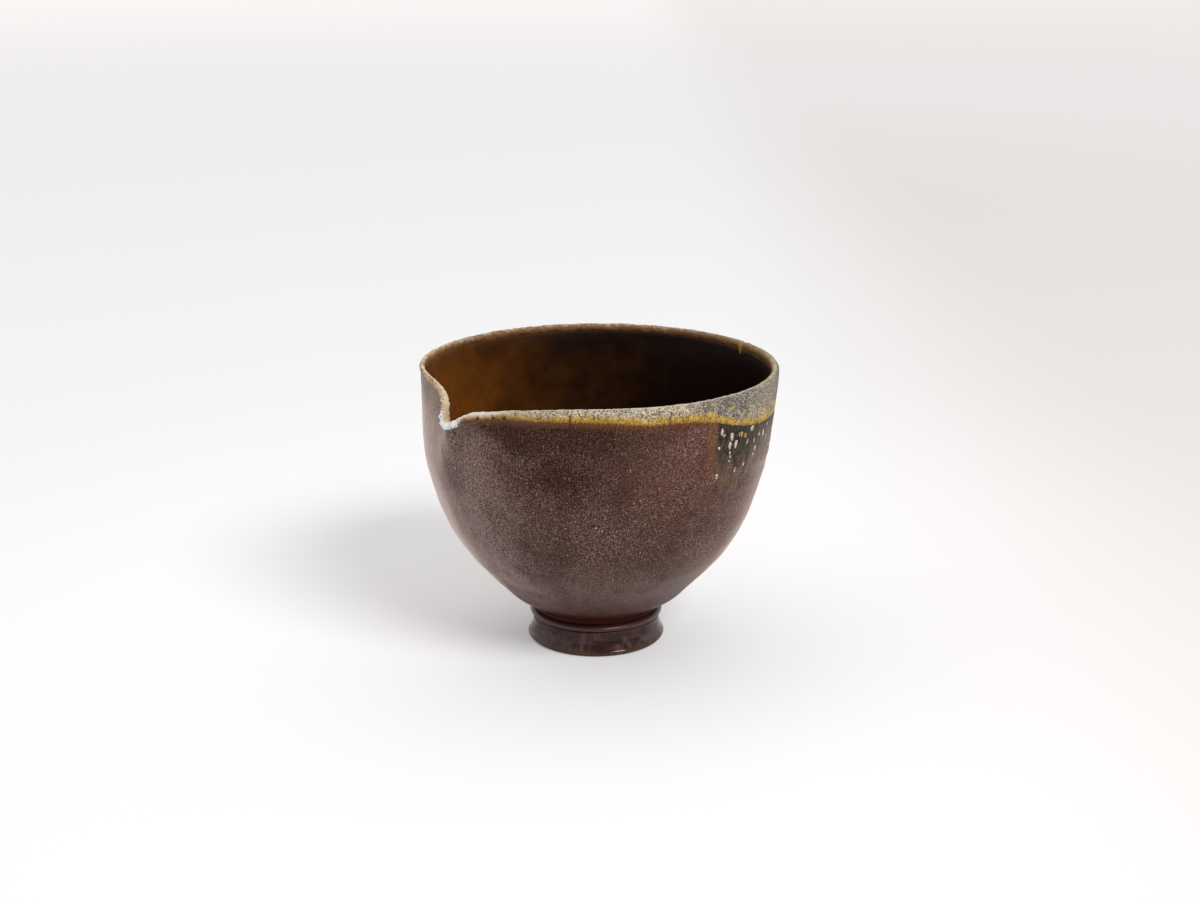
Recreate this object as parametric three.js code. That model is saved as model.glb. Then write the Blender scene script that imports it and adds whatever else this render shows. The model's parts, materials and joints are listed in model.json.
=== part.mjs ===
import * as THREE from "three";

// A thrown stoneware pitcher for tea. Lengths are in millimetres and angles in degrees.
// +Z is up, the spout points along +X, and the foot stands on z = 0 round the Z axis.

// Overall sizes of the clay.
const HEIGHT = 86.7; // crest of the rim, away from the spout
const RIM_RADIUS = 54.3; // outside of the rim
const LEAN = 1.0; // the upper bowl was drawn back from the foot's axis by this much
const LEAN_FROM = 58;
const LEAN_TO = 90;

// The foot ring. Its neck, the seat under the bowl and the turned bead and recess follow its radius.
const FOOT_RADIUS = 21.2;
const FOOT_HEIGHT = 7.6;
const FOOT_FLARE = 1.5; // how far the flare stands out from the neck
const FOOT_FLARE_HEIGHT = 1.3;
const FOOT_WALL = 5.0; // at the seat
const REST_WIDTH = 3.9;
const REST_ROUND = 1.1; // the outer edge of the rest
const REST_CHAMFER = 0.5; // the inner edge of the rest
const SEAT_CHAMFER = 0.7; // with the bead above it, this leaves a turned groove
const BEAD_PROUD = 0.9; // beyond the neck
const BEAD_RISE = 1.1; // above the seat
const RECESS_DEPTH = 1.75; // inside the bead
const RECESS_RISE = 2.4;
const WAIST_OUT = 2.5; // from the recess to where the flank springs
const WAIST_RISE = 4.7;
const TRIM_DEPTH = 0.5; // the trimmed underside inside the ring
const NIPPLE = 0.9; // left by the turning tool at the centre
const NIPPLE_RADIUS = 4.5;

// The thrown outline, as shares of the way from the waist to the rim: [height, radius].
const OUTLINE = [
  [0, 0],
  [0.0436, 0.151],
  [0.0905, 0.26],
  [0.157, 0.403],
  [0.251, 0.587],
  [0.372, 0.747],
  [0.505, 0.857],
  [0.639, 0.9325],
  [0.879, 0.9805],
  [1, 1],
];

// The wall and the floor.
const RIM_WALL = 1.8; // clay, so the glazed lip comes to about 2.5
const LOW_WALL = 5.6;
const WALL_THINNING = 2.2; // how quickly the wall thins on its way up
const FLOOR_THICKNESS = 4.5;
const FLOOR_JOIN = 0.155; // share of the height where the wall turns into the floor

// The spout: the rim is pushed down, pulled out and pinched in beside it.
const SPOUT_DEPTH = 5.3;
const SPOUT_HALF_LEFT = 6.2; // degrees
const SPOUT_HALF_RIGHT = 6.6;
const SAG_DEPTH = 4.4;
const SAG_AT = 7.8;
const SAG_HALF = 21.8;
const PULL = 2.9;
const PULL_HALF = 5.4;
const LEFT_PINCH = 2.8;
const LEFT_PINCH_AT = -13;
const LEFT_PINCH_HALF = 18;
const RIGHT_PINCH = 1.9;
const RIGHT_PINCH_AT = 21.5;
const RIGHT_PINCH_HALF = 6.5;
const SPOUT_REACH = 24; // how far down the wall the throat runs
const LIP_SWELL = 1.1; // the pouring lip is rolled out
const LIP_SWELL_HALF = 8;
const LIP_SWELL_REACH = 3.2;
const ARM_THINNING = 0.7; // the rim on the spout's left was squeezed thinner
const ARM_AT = -36;
const ARM_HALF = 26;
const ARM_REACH = 12;

// The glaze coats.
const GLAZE = 0.35;
const FLOOR_GLAZE = 0.5; // it pools on the floor
const GLAZE_ROLL = 0.5; // the ash crust's rolled lower edge
const EDGE_GLAZE = 0.22;
const RUN_GLAZE = 0.3;
const LINER_TOP = 2.6; // below the crest, inside
const CRUST_LEAST = 1.5; // depth of the ash crust below the crest
const CRUST_FRONT = 3.4; // added all round but on the spout's left
const CRUST_FROM = 14;
const CRUST_TO = 305;
const CRUST_SOFT = 14;
const CRUST_SIDE = 7.5; // added on the side that faced the fire
const CRUST_SIDE_FROM = 97.5;
const CRUST_SIDE_TO = 225;
const CRUST_SIDE_SOFT = 27.5;
const CRUST_WAVE = 0.22;
const RUN_FROM = 91; // the dark ash run below the crust
const RUN_TO = 192;
const RUN_SOFT = 4;
const RUN_LEAST = 1.6;
const RUN_LENGTH = 14.5;
const RUN_WAVE = 1.6;

// Facets.
const COLUMNS = 72;
const CROWDING = 0.45; // columns crowd round the spout
const FOOT_SEGMENTS = 56;
const FLANK_ROWS = [0, 0.035, 0.095, 0.18, 0.29, 0.42, 0.59, 0.78, 1]; // shares of its height
const INSIDE_ROWS = [0.88, 0.76, 0.63, 0.5, 0.37, 0.24, 0.11, 0];
const FLOOR_ROWS = [0.78, 0.55, 0.3]; // shares of its radius
const RUN_MARGIN = 3; // the flank's last row stays this far below the ash run

const turn = THREE.MathUtils.degToRad;
const lerp = THREE.MathUtils.lerp;
const smooth = THREE.MathUtils.smoothstep;
const bell = (x) => Math.exp(-x * x);
const around = (angle) => THREE.MathUtils.euclideanModulo(angle + 180, 360) - 180;

// A monotone cubic through stations [x, y].
function monotone(stations) {
  const n = stations.length;
  const chord = [];
  for (let i = 0; i + 1 < n; i++) {
    chord.push((stations[i + 1][1] - stations[i][1]) / (stations[i + 1][0] - stations[i][0]));
  }
  const slope = stations.map((_, i) => {
    if (i === 0) return chord[0];
    if (i === n - 1) return chord[n - 2];
    return (2 * chord[i - 1] * chord[i]) / (chord[i - 1] + chord[i]);
  });
  return (x) => {
    let i = 0;
    while (i < n - 2 && x > stations[i + 1][0]) i++;
    const width = stations[i + 1][0] - stations[i][0];
    const t = (x - stations[i][0]) / width;
    const u = 1 - t;
    return (
      stations[i][1] * (1 + 2 * t) * u * u +
      stations[i + 1][1] * t * t * (3 - 2 * t) +
      width * (slope[i] * t * u * u - slope[i + 1] * t * t * u)
    );
  };
}

const neckRadius = FOOT_RADIUS - FOOT_FLARE;
const seatOuter = neckRadius - SEAT_CHAMFER;
const seatInner = seatOuter - FOOT_WALL;
const beadRadius = neckRadius + BEAD_PROUD;
const beadHeight = FOOT_HEIGHT + BEAD_RISE;
const recessRadius = beadRadius - RECESS_DEPTH;
const recessHeight = FOOT_HEIGHT + RECESS_RISE;
const waistRadius = recessRadius + WAIST_OUT;
const waistHeight = FOOT_HEIGHT + WAIST_RISE;
const ceiling = FOOT_HEIGHT + TRIM_DEPTH;

const outline = monotone(OUTLINE);
const LIP = RIM_WALL / 2;
const WALL_TOP = HEIGHT - LIP;
const shareOf = (z) => (z - waistHeight) / (HEIGHT - waistHeight);
const radiusAt = (z) => lerp(waistRadius, RIM_RADIUS, outline(shareOf(z)));
const slopeAt = (z) => (radiusAt(z + 0.05) - radiusAt(z - 0.05)) / 0.1;
const wallAt = (z) => lerp(LOW_WALL, RIM_WALL, 1 - (1 - shareOf(z)) ** WALL_THINNING);

// What the potter's fingers did to the rim at an angle from the spout.
function spoutDip(angle) {
  const a = around(angle);
  const half = a < 0 ? SPOUT_HALF_LEFT : SPOUT_HALF_RIGHT;
  return SPOUT_DEPTH * bell(a / half) + SAG_DEPTH * bell((a - SAG_AT) / SAG_HALF);
}

function spoutPush(angle) {
  const a = around(angle);
  const left = LEFT_PINCH * bell((a - LEFT_PINCH_AT) / LEFT_PINCH_HALF);
  const right = RIGHT_PINCH * bell((a - RIGHT_PINCH_AT) / RIGHT_PINCH_HALF);
  return PULL * bell(a / PULL_HALF) - left - right;
}

// Carries a point of the round wall, thrown at height z, to where the spout left it.
function worked(angle, radius, height, z) {
  const share = smooth(z, HEIGHT - SPOUT_REACH, HEIGHT);
  return [radius + spoutPush(angle) * share, height - spoutDip(angle) * share];
}

function outside(angle, z) {
  const swell = LIP_SWELL * bell(around(angle) / LIP_SWELL_HALF);
  const rolled = swell * smooth(z, HEIGHT - LIP_SWELL_REACH, WALL_TOP);
  return worked(angle, radiusAt(z) + rolled, z, z);
}

function inside(angle, z) {
  const slope = slopeAt(z);
  const length = Math.hypot(1, slope);
  const squeezed = ARM_THINNING * bell((around(angle) - ARM_AT) / ARM_HALF);
  const wall = wallAt(z) - squeezed * smooth(z, HEIGHT - ARM_REACH, WALL_TOP);
  return worked(angle, radiusAt(z) - wall / length, z + (wall * slope) / length, z);
}

function lip(angle, degrees) {
  const [outerRadius, outerHeight] = outside(angle, WALL_TOP);
  const [innerRadius, innerHeight] = inside(angle, WALL_TOP);
  const across = (1 - Math.cos(turn(degrees))) / 2;
  const up = LIP * Math.sin(turn(degrees));
  return [
    lerp(outerRadius, innerRadius, across),
    lerp(outerHeight, innerHeight, across) + up,
  ];
}

// The floor is a bowl whose slope meets the wall's.
const FLOOR_HEIGHT = FOOT_HEIGHT + TRIM_DEPTH + FLOOR_THICKNESS;
const joinHeight = lerp(waistHeight, HEIGHT, FLOOR_JOIN);
const [joinRadius, joinTop] = inside(180, joinHeight);
const floorPower = joinRadius / slopeAt(joinHeight) / (joinTop - FLOOR_HEIGHT);
const floor = (share) => [
  joinRadius * share,
  lerp(FLOOR_HEIGHT, joinTop, share ** floorPower),
];

// 1 between two angles and 0 on the spout's side of them, with soft ends.
function between(angle, from, to, soft) {
  const a = THREE.MathUtils.euclideanModulo(angle, 360);
  return smooth(a, from - soft, from + soft) * (1 - smooth(a, to - soft, to + soft));
}

// Depths of the glaze edges below the crest, on the outside.
function crustDepth(angle) {
  const front = between(angle, CRUST_FROM, CRUST_TO, CRUST_SOFT);
  const fire = between(angle, CRUST_SIDE_FROM, CRUST_SIDE_TO, CRUST_SIDE_SOFT);
  const wave = CRUST_WAVE * (Math.sin(turn(7 * angle)) + Math.sin(turn(11 * angle + 40)));
  return CRUST_LEAST + (CRUST_FRONT + wave) * front + CRUST_SIDE * fire;
}

function runDepth(angle) {
  const tongue = between(angle, RUN_FROM - RUN_SOFT, RUN_TO, RUN_SOFT);
  const drips = RUN_WAVE * Math.sin(turn(14 * angle));
  return crustDepth(angle) + RUN_LEAST + (RUN_LENGTH + drips) * tongue;
}

// The columns' angles from the spout.
const columns = Array.from({ length: COLUMNS }, (_, j) => {
  const part = j / COLUMNS;
  return 360 * part - THREE.MathUtils.radToDeg(CROWDING * Math.sin(2 * Math.PI * part));
});

// Rows of the body from the middle of its underside, up the outside, over the lip and down to the
// middle of the floor. Each gives [radius, height] at an angle, and z is what the lean goes by.
const rows = [];
function addRow(at, z, name) {
  rows.push({ at, z: typeof z === "function" ? z : () => z, name });
}

addRow(() => [NIPPLE_RADIUS, ceiling], 0);
addRow(() => [seatInner - TRIM_DEPTH, ceiling], 0);
addRow(() => [seatInner, FOOT_HEIGHT], 0);
addRow(() => [seatOuter, FOOT_HEIGHT], 0);

// The bead and the recess turned under the flank.
const turned = new THREE.Path();
turned.moveTo(seatOuter, FOOT_HEIGHT);
turned.quadraticCurveTo(beadRadius, FOOT_HEIGHT, beadRadius, beadHeight);
const beadShoulder = lerp(beadHeight, recessHeight, 0.6);
turned.quadraticCurveTo(beadRadius, beadShoulder, recessRadius, recessHeight);
const undercut = lerp(recessHeight, waistHeight, 0.85);
turned.quadraticCurveTo(recessRadius, undercut, waistRadius, waistHeight);
for (const point of turned.getPoints(3).slice(1, -1)) addRow(() => [point.x, point.y], 0);

// The flank and the outside of the wall, in rows that close up to the glaze edges.
const runEdge = (angle) => HEIGHT - runDepth(angle);
const crustEdge = (angle) => HEIGHT - crustDepth(angle);
const flankTop = Math.min(...columns.map(runEdge)) - RUN_MARGIN;
for (const share of FLANK_ROWS) {
  const z = lerp(waistHeight, flankTop, share);
  addRow((angle) => outside(angle, z), z);
}
const outsideRow = (z, name) => addRow((angle) => outside(angle, z(angle)), z, name);
outsideRow((angle) => lerp(flankTop, runEdge(angle), 0.5));
outsideRow(runEdge, "runEdge");
outsideRow((angle) => lerp(runEdge(angle), crustEdge(angle), 0.5));
outsideRow(crustEdge, "crustEdge");
outsideRow((angle) => lerp(crustEdge(angle), WALL_TOP, 0.16));
outsideRow((angle) => lerp(crustEdge(angle), WALL_TOP, 0.55));
outsideRow(() => WALL_TOP);
for (const degrees of [45, 90, 135]) addRow((angle) => lip(angle, degrees), WALL_TOP);
addRow((angle) => inside(angle, WALL_TOP), WALL_TOP);
addRow((angle) => inside(angle, HEIGHT - LINER_TOP), HEIGHT - LINER_TOP, "linerTop");
for (const share of INSIDE_ROWS) {
  const z = lerp(joinHeight, HEIGHT - LINER_TOP, share);
  addRow((angle) => inside(angle, z), z);
}
for (const share of FLOOR_ROWS) addRow(() => floor(share), 0);

function place(angle, [radius, height], z) {
  const back = LEAN * smooth(z, LEAN_FROM, LEAN_TO);
  return new THREE.Vector3(
    radius * Math.cos(turn(angle)) - back,
    radius * Math.sin(turn(angle)),
    height,
  );
}

const body = rows.map(({ at, z, name }, index) => ({
  index,
  name,
  points: columns.map((angle) => place(angle, at(angle), z(angle))),
}));
const undersidePole = new THREE.Vector3(0, 0, ceiling - NIPPLE);
const floorPole = new THREE.Vector3(0, 0, FLOOR_HEIGHT);
const rowNamed = (name) => rows.findIndex((row) => row.name === name);

// Outward normal of the body at a row and a column.
function normalAt(i, j) {
  const next = body[i].points[(j + 1) % COLUMNS];
  const last = body[i].points[(j + COLUMNS - 1) % COLUMNS];
  const after = i + 1 < body.length ? body[i + 1].points[j] : floorPole;
  const before = body[i - 1].points[j];
  const along = new THREE.Vector3().subVectors(after, before);
  return new THREE.Vector3().subVectors(next, last).cross(along).normalize();
}

// A row of the body lifted off it along its normals by a coat's thickness.
function lifted(i, thickness) {
  return {
    index: i + 0.5,
    points: body[i].points.map((point, j) =>
      point.clone().addScaledVector(normalAt(i, j), thickness),
    ),
  };
}

// Triangles between two rows, counterclockwise seen from outside when the second row is the next one
// up the outside. The diagonal follows the rows' indices, so a coat and the clay share their facets.
function band(triangles, first, second, closed) {
  const count = first.points.length;
  for (let j = 0; j < (closed ? count : count - 1); j++) {
    const k = (j + 1) % count;
    const [a, b] = [first.points[j], first.points[k]];
    const [c, d] = [second.points[k], second.points[j]];
    if (first.index < second.index) triangles.push(a, b, c, a, c, d);
    else triangles.push(a, b, d, b, c, d);
  }
}

function fan(triangles, pole, row, upward) {
  const { points } = row;
  points.forEach((point, j) => {
    const next = points[(j + 1) % points.length];
    if (upward) triangles.push(pole, point, next);
    else triangles.push(pole, next, point);
  });
}

function meshOf(name, triangles, material) {
  const geometry = new THREE.BufferGeometry().setFromPoints(triangles);
  geometry.computeVertexNormals();
  const mesh = new THREE.Mesh(geometry, new THREE.MeshStandardMaterial(material));
  mesh.name = name;
  return mesh;
}

function bodyMesh() {
  const triangles = [];
  fan(triangles, undersidePole, body[0], false);
  for (let i = 0; i + 1 < body.length; i++) band(triangles, body[i], body[i + 1], true);
  fan(triangles, floorPole, body.at(-1), true);
  return meshOf("bowl", triangles, { color: 0x5a4641, roughness: 0.62, metalness: 0 });
}

// The liner runs from its edge under the lip to the middle of the floor.
function linerMesh() {
  const triangles = [];
  const from = rowNamed("linerTop");
  const thickness = (i) => lerp(GLAZE, FLOOR_GLAZE, smooth(i, from + 1, body.length));
  const top = body.slice(from).map((row) => lifted(row.index, thickness(row.index)));
  const pole = floorPole.clone().setZ(FLOOR_HEIGHT + FLOOR_GLAZE);
  band(triangles, body[from], top[0], true);
  for (let i = 0; i + 1 < top.length; i++) {
    band(triangles, top[i], top[i + 1], true);
    band(triangles, body[from + i + 1], body[from + i], true);
  }
  fan(triangles, pole, top.at(-1), true);
  fan(triangles, floorPole, body.at(-1), false);
  return meshOf("liner_glaze", triangles, { color: 0x3a2010, roughness: 0.3, metalness: 0 });
}

// A coat on rows from one to another, over all the columns or over a range of them.
function coatMesh(name, from, to, thickness, range, material) {
  const triangles = [];
  const cut = (row) => (range ? { ...row, points: row.points.slice(...range) } : row);
  const under = body.slice(from, to + 1).map(cut);
  const over = body.slice(from, to + 1).map((row) => cut(lifted(row.index, thickness(row.index))));
  band(triangles, under[0], over[0], !range);
  for (let i = 0; i + 1 < over.length; i++) {
    band(triangles, over[i], over[i + 1], !range);
    band(triangles, under[i + 1], under[i], !range);
  }
  band(triangles, over.at(-1), under.at(-1), !range);
  if (range) {
    for (let i = 0; i + 1 < over.length; i++) {
      const [a, b] = [under[i].points[0], under[i + 1].points[0]];
      const [c, d] = [over[i + 1].points[0], over[i].points[0]];
      triangles.push(a, d, c, a, c, b);
      const [e, f] = [under[i].points.at(-1), under[i + 1].points.at(-1)];
      const [g, h] = [over[i + 1].points.at(-1), over[i].points.at(-1)];
      triangles.push(e, g, h, e, f, g);
    }
  }
  return meshOf(name, triangles, material);
}

function crustMesh() {
  const from = rowNamed("crustEdge");
  const to = rowNamed("linerTop");
  const thickness = (i) => (i === from ? EDGE_GLAZE : i === from + 1 ? GLAZE_ROLL : GLAZE);
  const material = { color: 0xb0a08a, roughness: 0.55, metalness: 0 };
  return coatMesh("rim_ash_glaze", from, to, thickness, null, material);
}

function runMesh() {
  const from = rowNamed("runEdge");
  const to = rowNamed("crustEdge");
  const inRange = (angle) => angle > RUN_FROM && angle < RUN_TO;
  const range = [columns.findIndex(inRange), columns.findLastIndex(inRange) + 1];
  const thickness = (i) => (i === from + 1 ? RUN_GLAZE : EDGE_GLAZE);
  const material = { color: 0x2c2f29, roughness: 0.45, metalness: 0 };
  return coatMesh("ash_run_glaze", from, to, thickness, range, material);
}

// The foot ring is turned: a flat rest, a rounded flare, a waist and a flat seat under the bowl.
function footMesh() {
  const restOuter = FOOT_RADIUS - REST_ROUND;
  const restInner = restOuter - REST_WIDTH;
  const profile = new THREE.Path();
  profile.moveTo(restInner, 0);
  profile.lineTo(restOuter, 0);
  profile.quadraticCurveTo(FOOT_RADIUS, 0, FOOT_RADIUS, FOOT_FLARE_HEIGHT);
  const neckHeight = lerp(FOOT_FLARE_HEIGHT, FOOT_HEIGHT, 0.3);
  profile.quadraticCurveTo(neckRadius, neckHeight, neckRadius, FOOT_HEIGHT - SEAT_CHAMFER);
  profile.lineTo(seatOuter, FOOT_HEIGHT);
  profile.lineTo(seatInner, FOOT_HEIGHT);
  profile.quadraticCurveTo(seatInner, FOOT_HEIGHT / 3, restInner - REST_CHAMFER, REST_CHAMFER);
  profile.closePath();
  const geometry = new THREE.LatheGeometry(profile.getPoints(4), FOOT_SEGMENTS);
  geometry.rotateX(Math.PI / 2);
  const material = new THREE.MeshStandardMaterial({ color: 0x3a2b2a, roughness: 0.35 });
  const mesh = new THREE.Mesh(geometry, material);
  mesh.name = "foot_ring";
  return mesh;
}

const pitcher = new THREE.Group();
pitcher.add(bodyMesh(), footMesh(), linerMesh(), crustMesh(), runMesh());

export default pitcher;
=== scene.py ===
"""Looks of a wood-fired stoneware tea pitcher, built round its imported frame.

In the formulas, lengths are millimetres and angles are degrees from the spout, rising towards the
side that faced the fire. A point of the wall is known by its angle and by the height it was thrown
at, before the spout was pushed down. Meshes are put in place in metres.
"""
import json
from math import cos, degrees, pi, radians, sin
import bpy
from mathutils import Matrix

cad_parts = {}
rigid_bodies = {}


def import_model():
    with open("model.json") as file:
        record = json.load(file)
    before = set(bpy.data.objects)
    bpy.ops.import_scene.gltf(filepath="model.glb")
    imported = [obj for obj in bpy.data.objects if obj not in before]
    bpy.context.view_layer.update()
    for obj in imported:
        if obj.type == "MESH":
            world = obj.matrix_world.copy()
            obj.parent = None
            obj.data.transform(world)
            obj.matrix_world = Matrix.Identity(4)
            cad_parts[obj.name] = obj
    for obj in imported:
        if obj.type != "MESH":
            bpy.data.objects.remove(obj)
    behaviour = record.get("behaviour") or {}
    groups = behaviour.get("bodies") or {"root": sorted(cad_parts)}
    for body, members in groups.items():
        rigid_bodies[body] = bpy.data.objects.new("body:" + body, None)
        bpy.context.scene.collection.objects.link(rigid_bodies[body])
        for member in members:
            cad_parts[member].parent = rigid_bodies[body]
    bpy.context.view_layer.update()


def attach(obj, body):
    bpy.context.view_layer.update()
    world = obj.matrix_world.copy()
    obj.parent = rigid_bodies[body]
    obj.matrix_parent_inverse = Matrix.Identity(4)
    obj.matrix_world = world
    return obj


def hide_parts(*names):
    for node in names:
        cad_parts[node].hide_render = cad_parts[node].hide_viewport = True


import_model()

from types import SimpleNamespace

import bpy
import numpy as np
from bpy.props import FloatProperty, FloatVectorProperty, IntProperty, PointerProperty
from mathutils import Vector

PHOTO_WIDTH = 1200  # the photograph's pixels
SENSOR = 36  # millimetres
FLOOR_HALF = 14  # metres
LAMP_AWAY = 2.4  # metres
LAMP_SIZE = 1.3, 0.8  # metres
LAMP_TURN, LAMP_RISE = 38, 42  # degrees, from the camera's side and from the floor
DIM_TURN = 28  # degrees, from the camera's side to the dimmest part of the sky
# The right tint is painted shade on the floor, on the camera's right.
FAR_TINT, RIGHT_SHADE_TINT = (1, 0.965, 0.955, 1), (0.78, 0.745, 0.73, 1)  # of the floor
SKY_TINT, BACKDROP = (1, 0.985, 0.975, 1), (0.93, 0.915, 0.905, 1)
SHEEN_TINT = (1, 0.83, 0.76, 1)

# Details of the clay.
REST_ROUND = 1.1  # from the foot's widest radius in to the edge of what it stands on
FLARE_HEIGHT = 1.3  # where the foot is widest
TRIM_DEPTH = 0.5  # how far the underside was trimmed in above the foot's seat
NIPPLE_RADIUS, NIPPLE_HEIGHT = 4.5, 0.9  # what the turning tool left in its middle
FLOOR_JOIN = 0.155  # share of the height where the wall turns into the floor
WALL_THINNING = 2.2  # power by which the wall thins on its way up
LIP_REACH, ARM_REACH = 3.2, 12  # how far down the rolled lip and the squeezed rim show
CROWDING = 0.45  # of the columns round the spout
WAVES = 20  # that make up a grain

ROOT = 0.12  # how deep the back of a glaze coat lies in the clay
CRUST_SOFT, SIDE_SOFT = 14, 27.5  # degrees over which the crust's depth changes
DROP_GROWTH = 1.45, 1.15  # times the widths and lengths in the table of drops
DROP_LIFT, DROP_ROOT = 0.08, 0.25  # of a drop's edge above the clay and of its back in it

bl_info = {
    "name": "Tea pitcher",
    "version": (1, 0, 0),
    "blender": (4, 5, 0),
    "location": "3D View > Sidebar > Tea pitcher",
    "description": "Builds the looks of a wood-fired stoneware tea pitcher",
    "category": "Object",
}

# Shares of the way from the waist to the rim: height, radius.
OUTLINE = np.array([
    [0, 0], [0.0436, 0.151], [0.0905, 0.26], [0.157, 0.403], [0.251, 0.587],
    [0.372, 0.747], [0.505, 0.857], [0.639, 0.9325], [0.879, 0.9805], [1, 1],
])

# Drops that stood out of the melted ash: angle, fall below the crest, half width, half length,
# height, dent in the middle (0 or up to 1) and tone (0 bone white, 1 ochre, 2 tan).
DROPS = np.array([
    [97.5, 11.8, 0.55, 1.15, 0.42, 0, 0], [97.0, 14.3, 0.5, 1.2, 0.4, 0, 0],
    [99.9, 14.4, 0.5, 1.1, 0.38, 0, 0], [97.4, 16.7, 0.32, 0.5, 0.28, 0, 0],
    [97.9, 18.0, 0.3, 0.5, 0.25, 0, 0], [97.6, 19.2, 0.28, 0.4, 0.22, 0, 0],
    [92.9, 9.6, 0.45, 0.95, 0.25, 0.6, 0], [92.3, 14.4, 0.4, 0.45, 0.3, 0, 0],
    [110.6, 15.8, 0.4, 0.7, 0.3, 0, 0], [111.9, 18.4, 0.4, 0.8, 0.32, 0, 0],
    [111.4, 20.3, 0.3, 0.5, 0.22, 0, 0], [117.6, 15.0, 0.5, 1.0, 0.35, 0, 0],
    [108.3, 11.6, 0.6, 0.9, 0.35, 0.3, 0], [114.0, 14.6, 0.35, 0.7, 0.28, 0, 0],
    [93.9, 10.9, 0.45, 0.45, 0.35, 0.4, 1], [102.0, 12.1, 0.7, 0.95, 0.38, 0.9, 1],
    [104.6, 13.0, 0.5, 0.75, 0.3, 0.7, 1], [106.1, 15.1, 0.55, 0.6, 0.3, 0.3, 2],
    [104.7, 2.9, 0.55, 0.5, 0.3, 0.5, 1], [117.1, 5.8, 0.55, 0.6, 0.3, 0.4, 1],
    [105.3, 21.7, 0.55, 0.55, 0.38, 0.2, 2], [101.0, 22.5, 0.4, 0.8, 0.25, 0.5, 2],
    [92.7, 22.9, 0.45, 0.7, 0.25, 0.4, 2], [112.8, 10.9, 0.4, 0.5, 0.3, 0, 1],
])
MORE_DROPS = 44  # on the side that the photograph doesn't show
MORE_DROPS_SIDE = 119, 186  # degrees

# Single marks of the crust: angle, width and how strong. Drips of its edge, dark notches in it and
# the drip inside. Then its dark dots: angle and depth.
EDGE_DRIPS = (65.1, 0.5, 0.7), (81.1, 0.45, 0.6)
NOTCHES = (43.8, 0.32, 0.9), (73.6, 0.26, 0.9)
INNER_DRIPS = ((172.5, 1.1, 1),)
DOTS = (12.8, 1.15), (18.1, 1.3), (21.8, 1.5)

# Where the crust's pale part ends above its edge, and thin brown glaze shows below: angle, distance.
PALE_ENDS = np.array([
    [3, 0], [8, 0.8], [12, 1.2], [17, 2.0], [22, 2.4], [28, 2.4], [35, 1.95], [47, 1.4], [58, 0.85],
    [70, 0.25], [84, 0], [101, -0.7], [118, 0],
])
# How much narrower the yellow band is than on the side that faced the fire: angle, distance.
NARROWER = np.array([[8, 1.6], [30, 1.2], [40, 0.8], [50, 0.55], [60, 0.4], [75, 0.1], [88, 0]])
# How far the scorch reaches below that: angle, distance.
SCORCH_REACH = np.array([[8, 3], [17, 5.5], [26, 11], [48, 10], [70, 6]])


def length(name, description, millimetres):
    """A size whose default is given in millimetres."""
    return FloatProperty(
        name=name, description=description, default=millimetres / 1000, unit="LENGTH", precision=5
    )


def turned_by(name, description, angle):
    """An angle whose default is given in degrees."""
    return FloatProperty(
        name=name, description=description, default=radians(angle), subtype="ANGLE"
    )


def colour(name, description, *screen):
    """A colour whose default is given as it looks on a screen, from 0 to 255."""
    shares = [value / 255 for value in screen]
    linear = [s / 12.92 if s < 0.04045 else ((s + 0.055) / 1.055) ** 2.4 for s in shares]
    return FloatVectorProperty(
        name=name, description=description, default=(*linear, 1), size=4, min=0, max=1,
        subtype="COLOR",
    )


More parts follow.
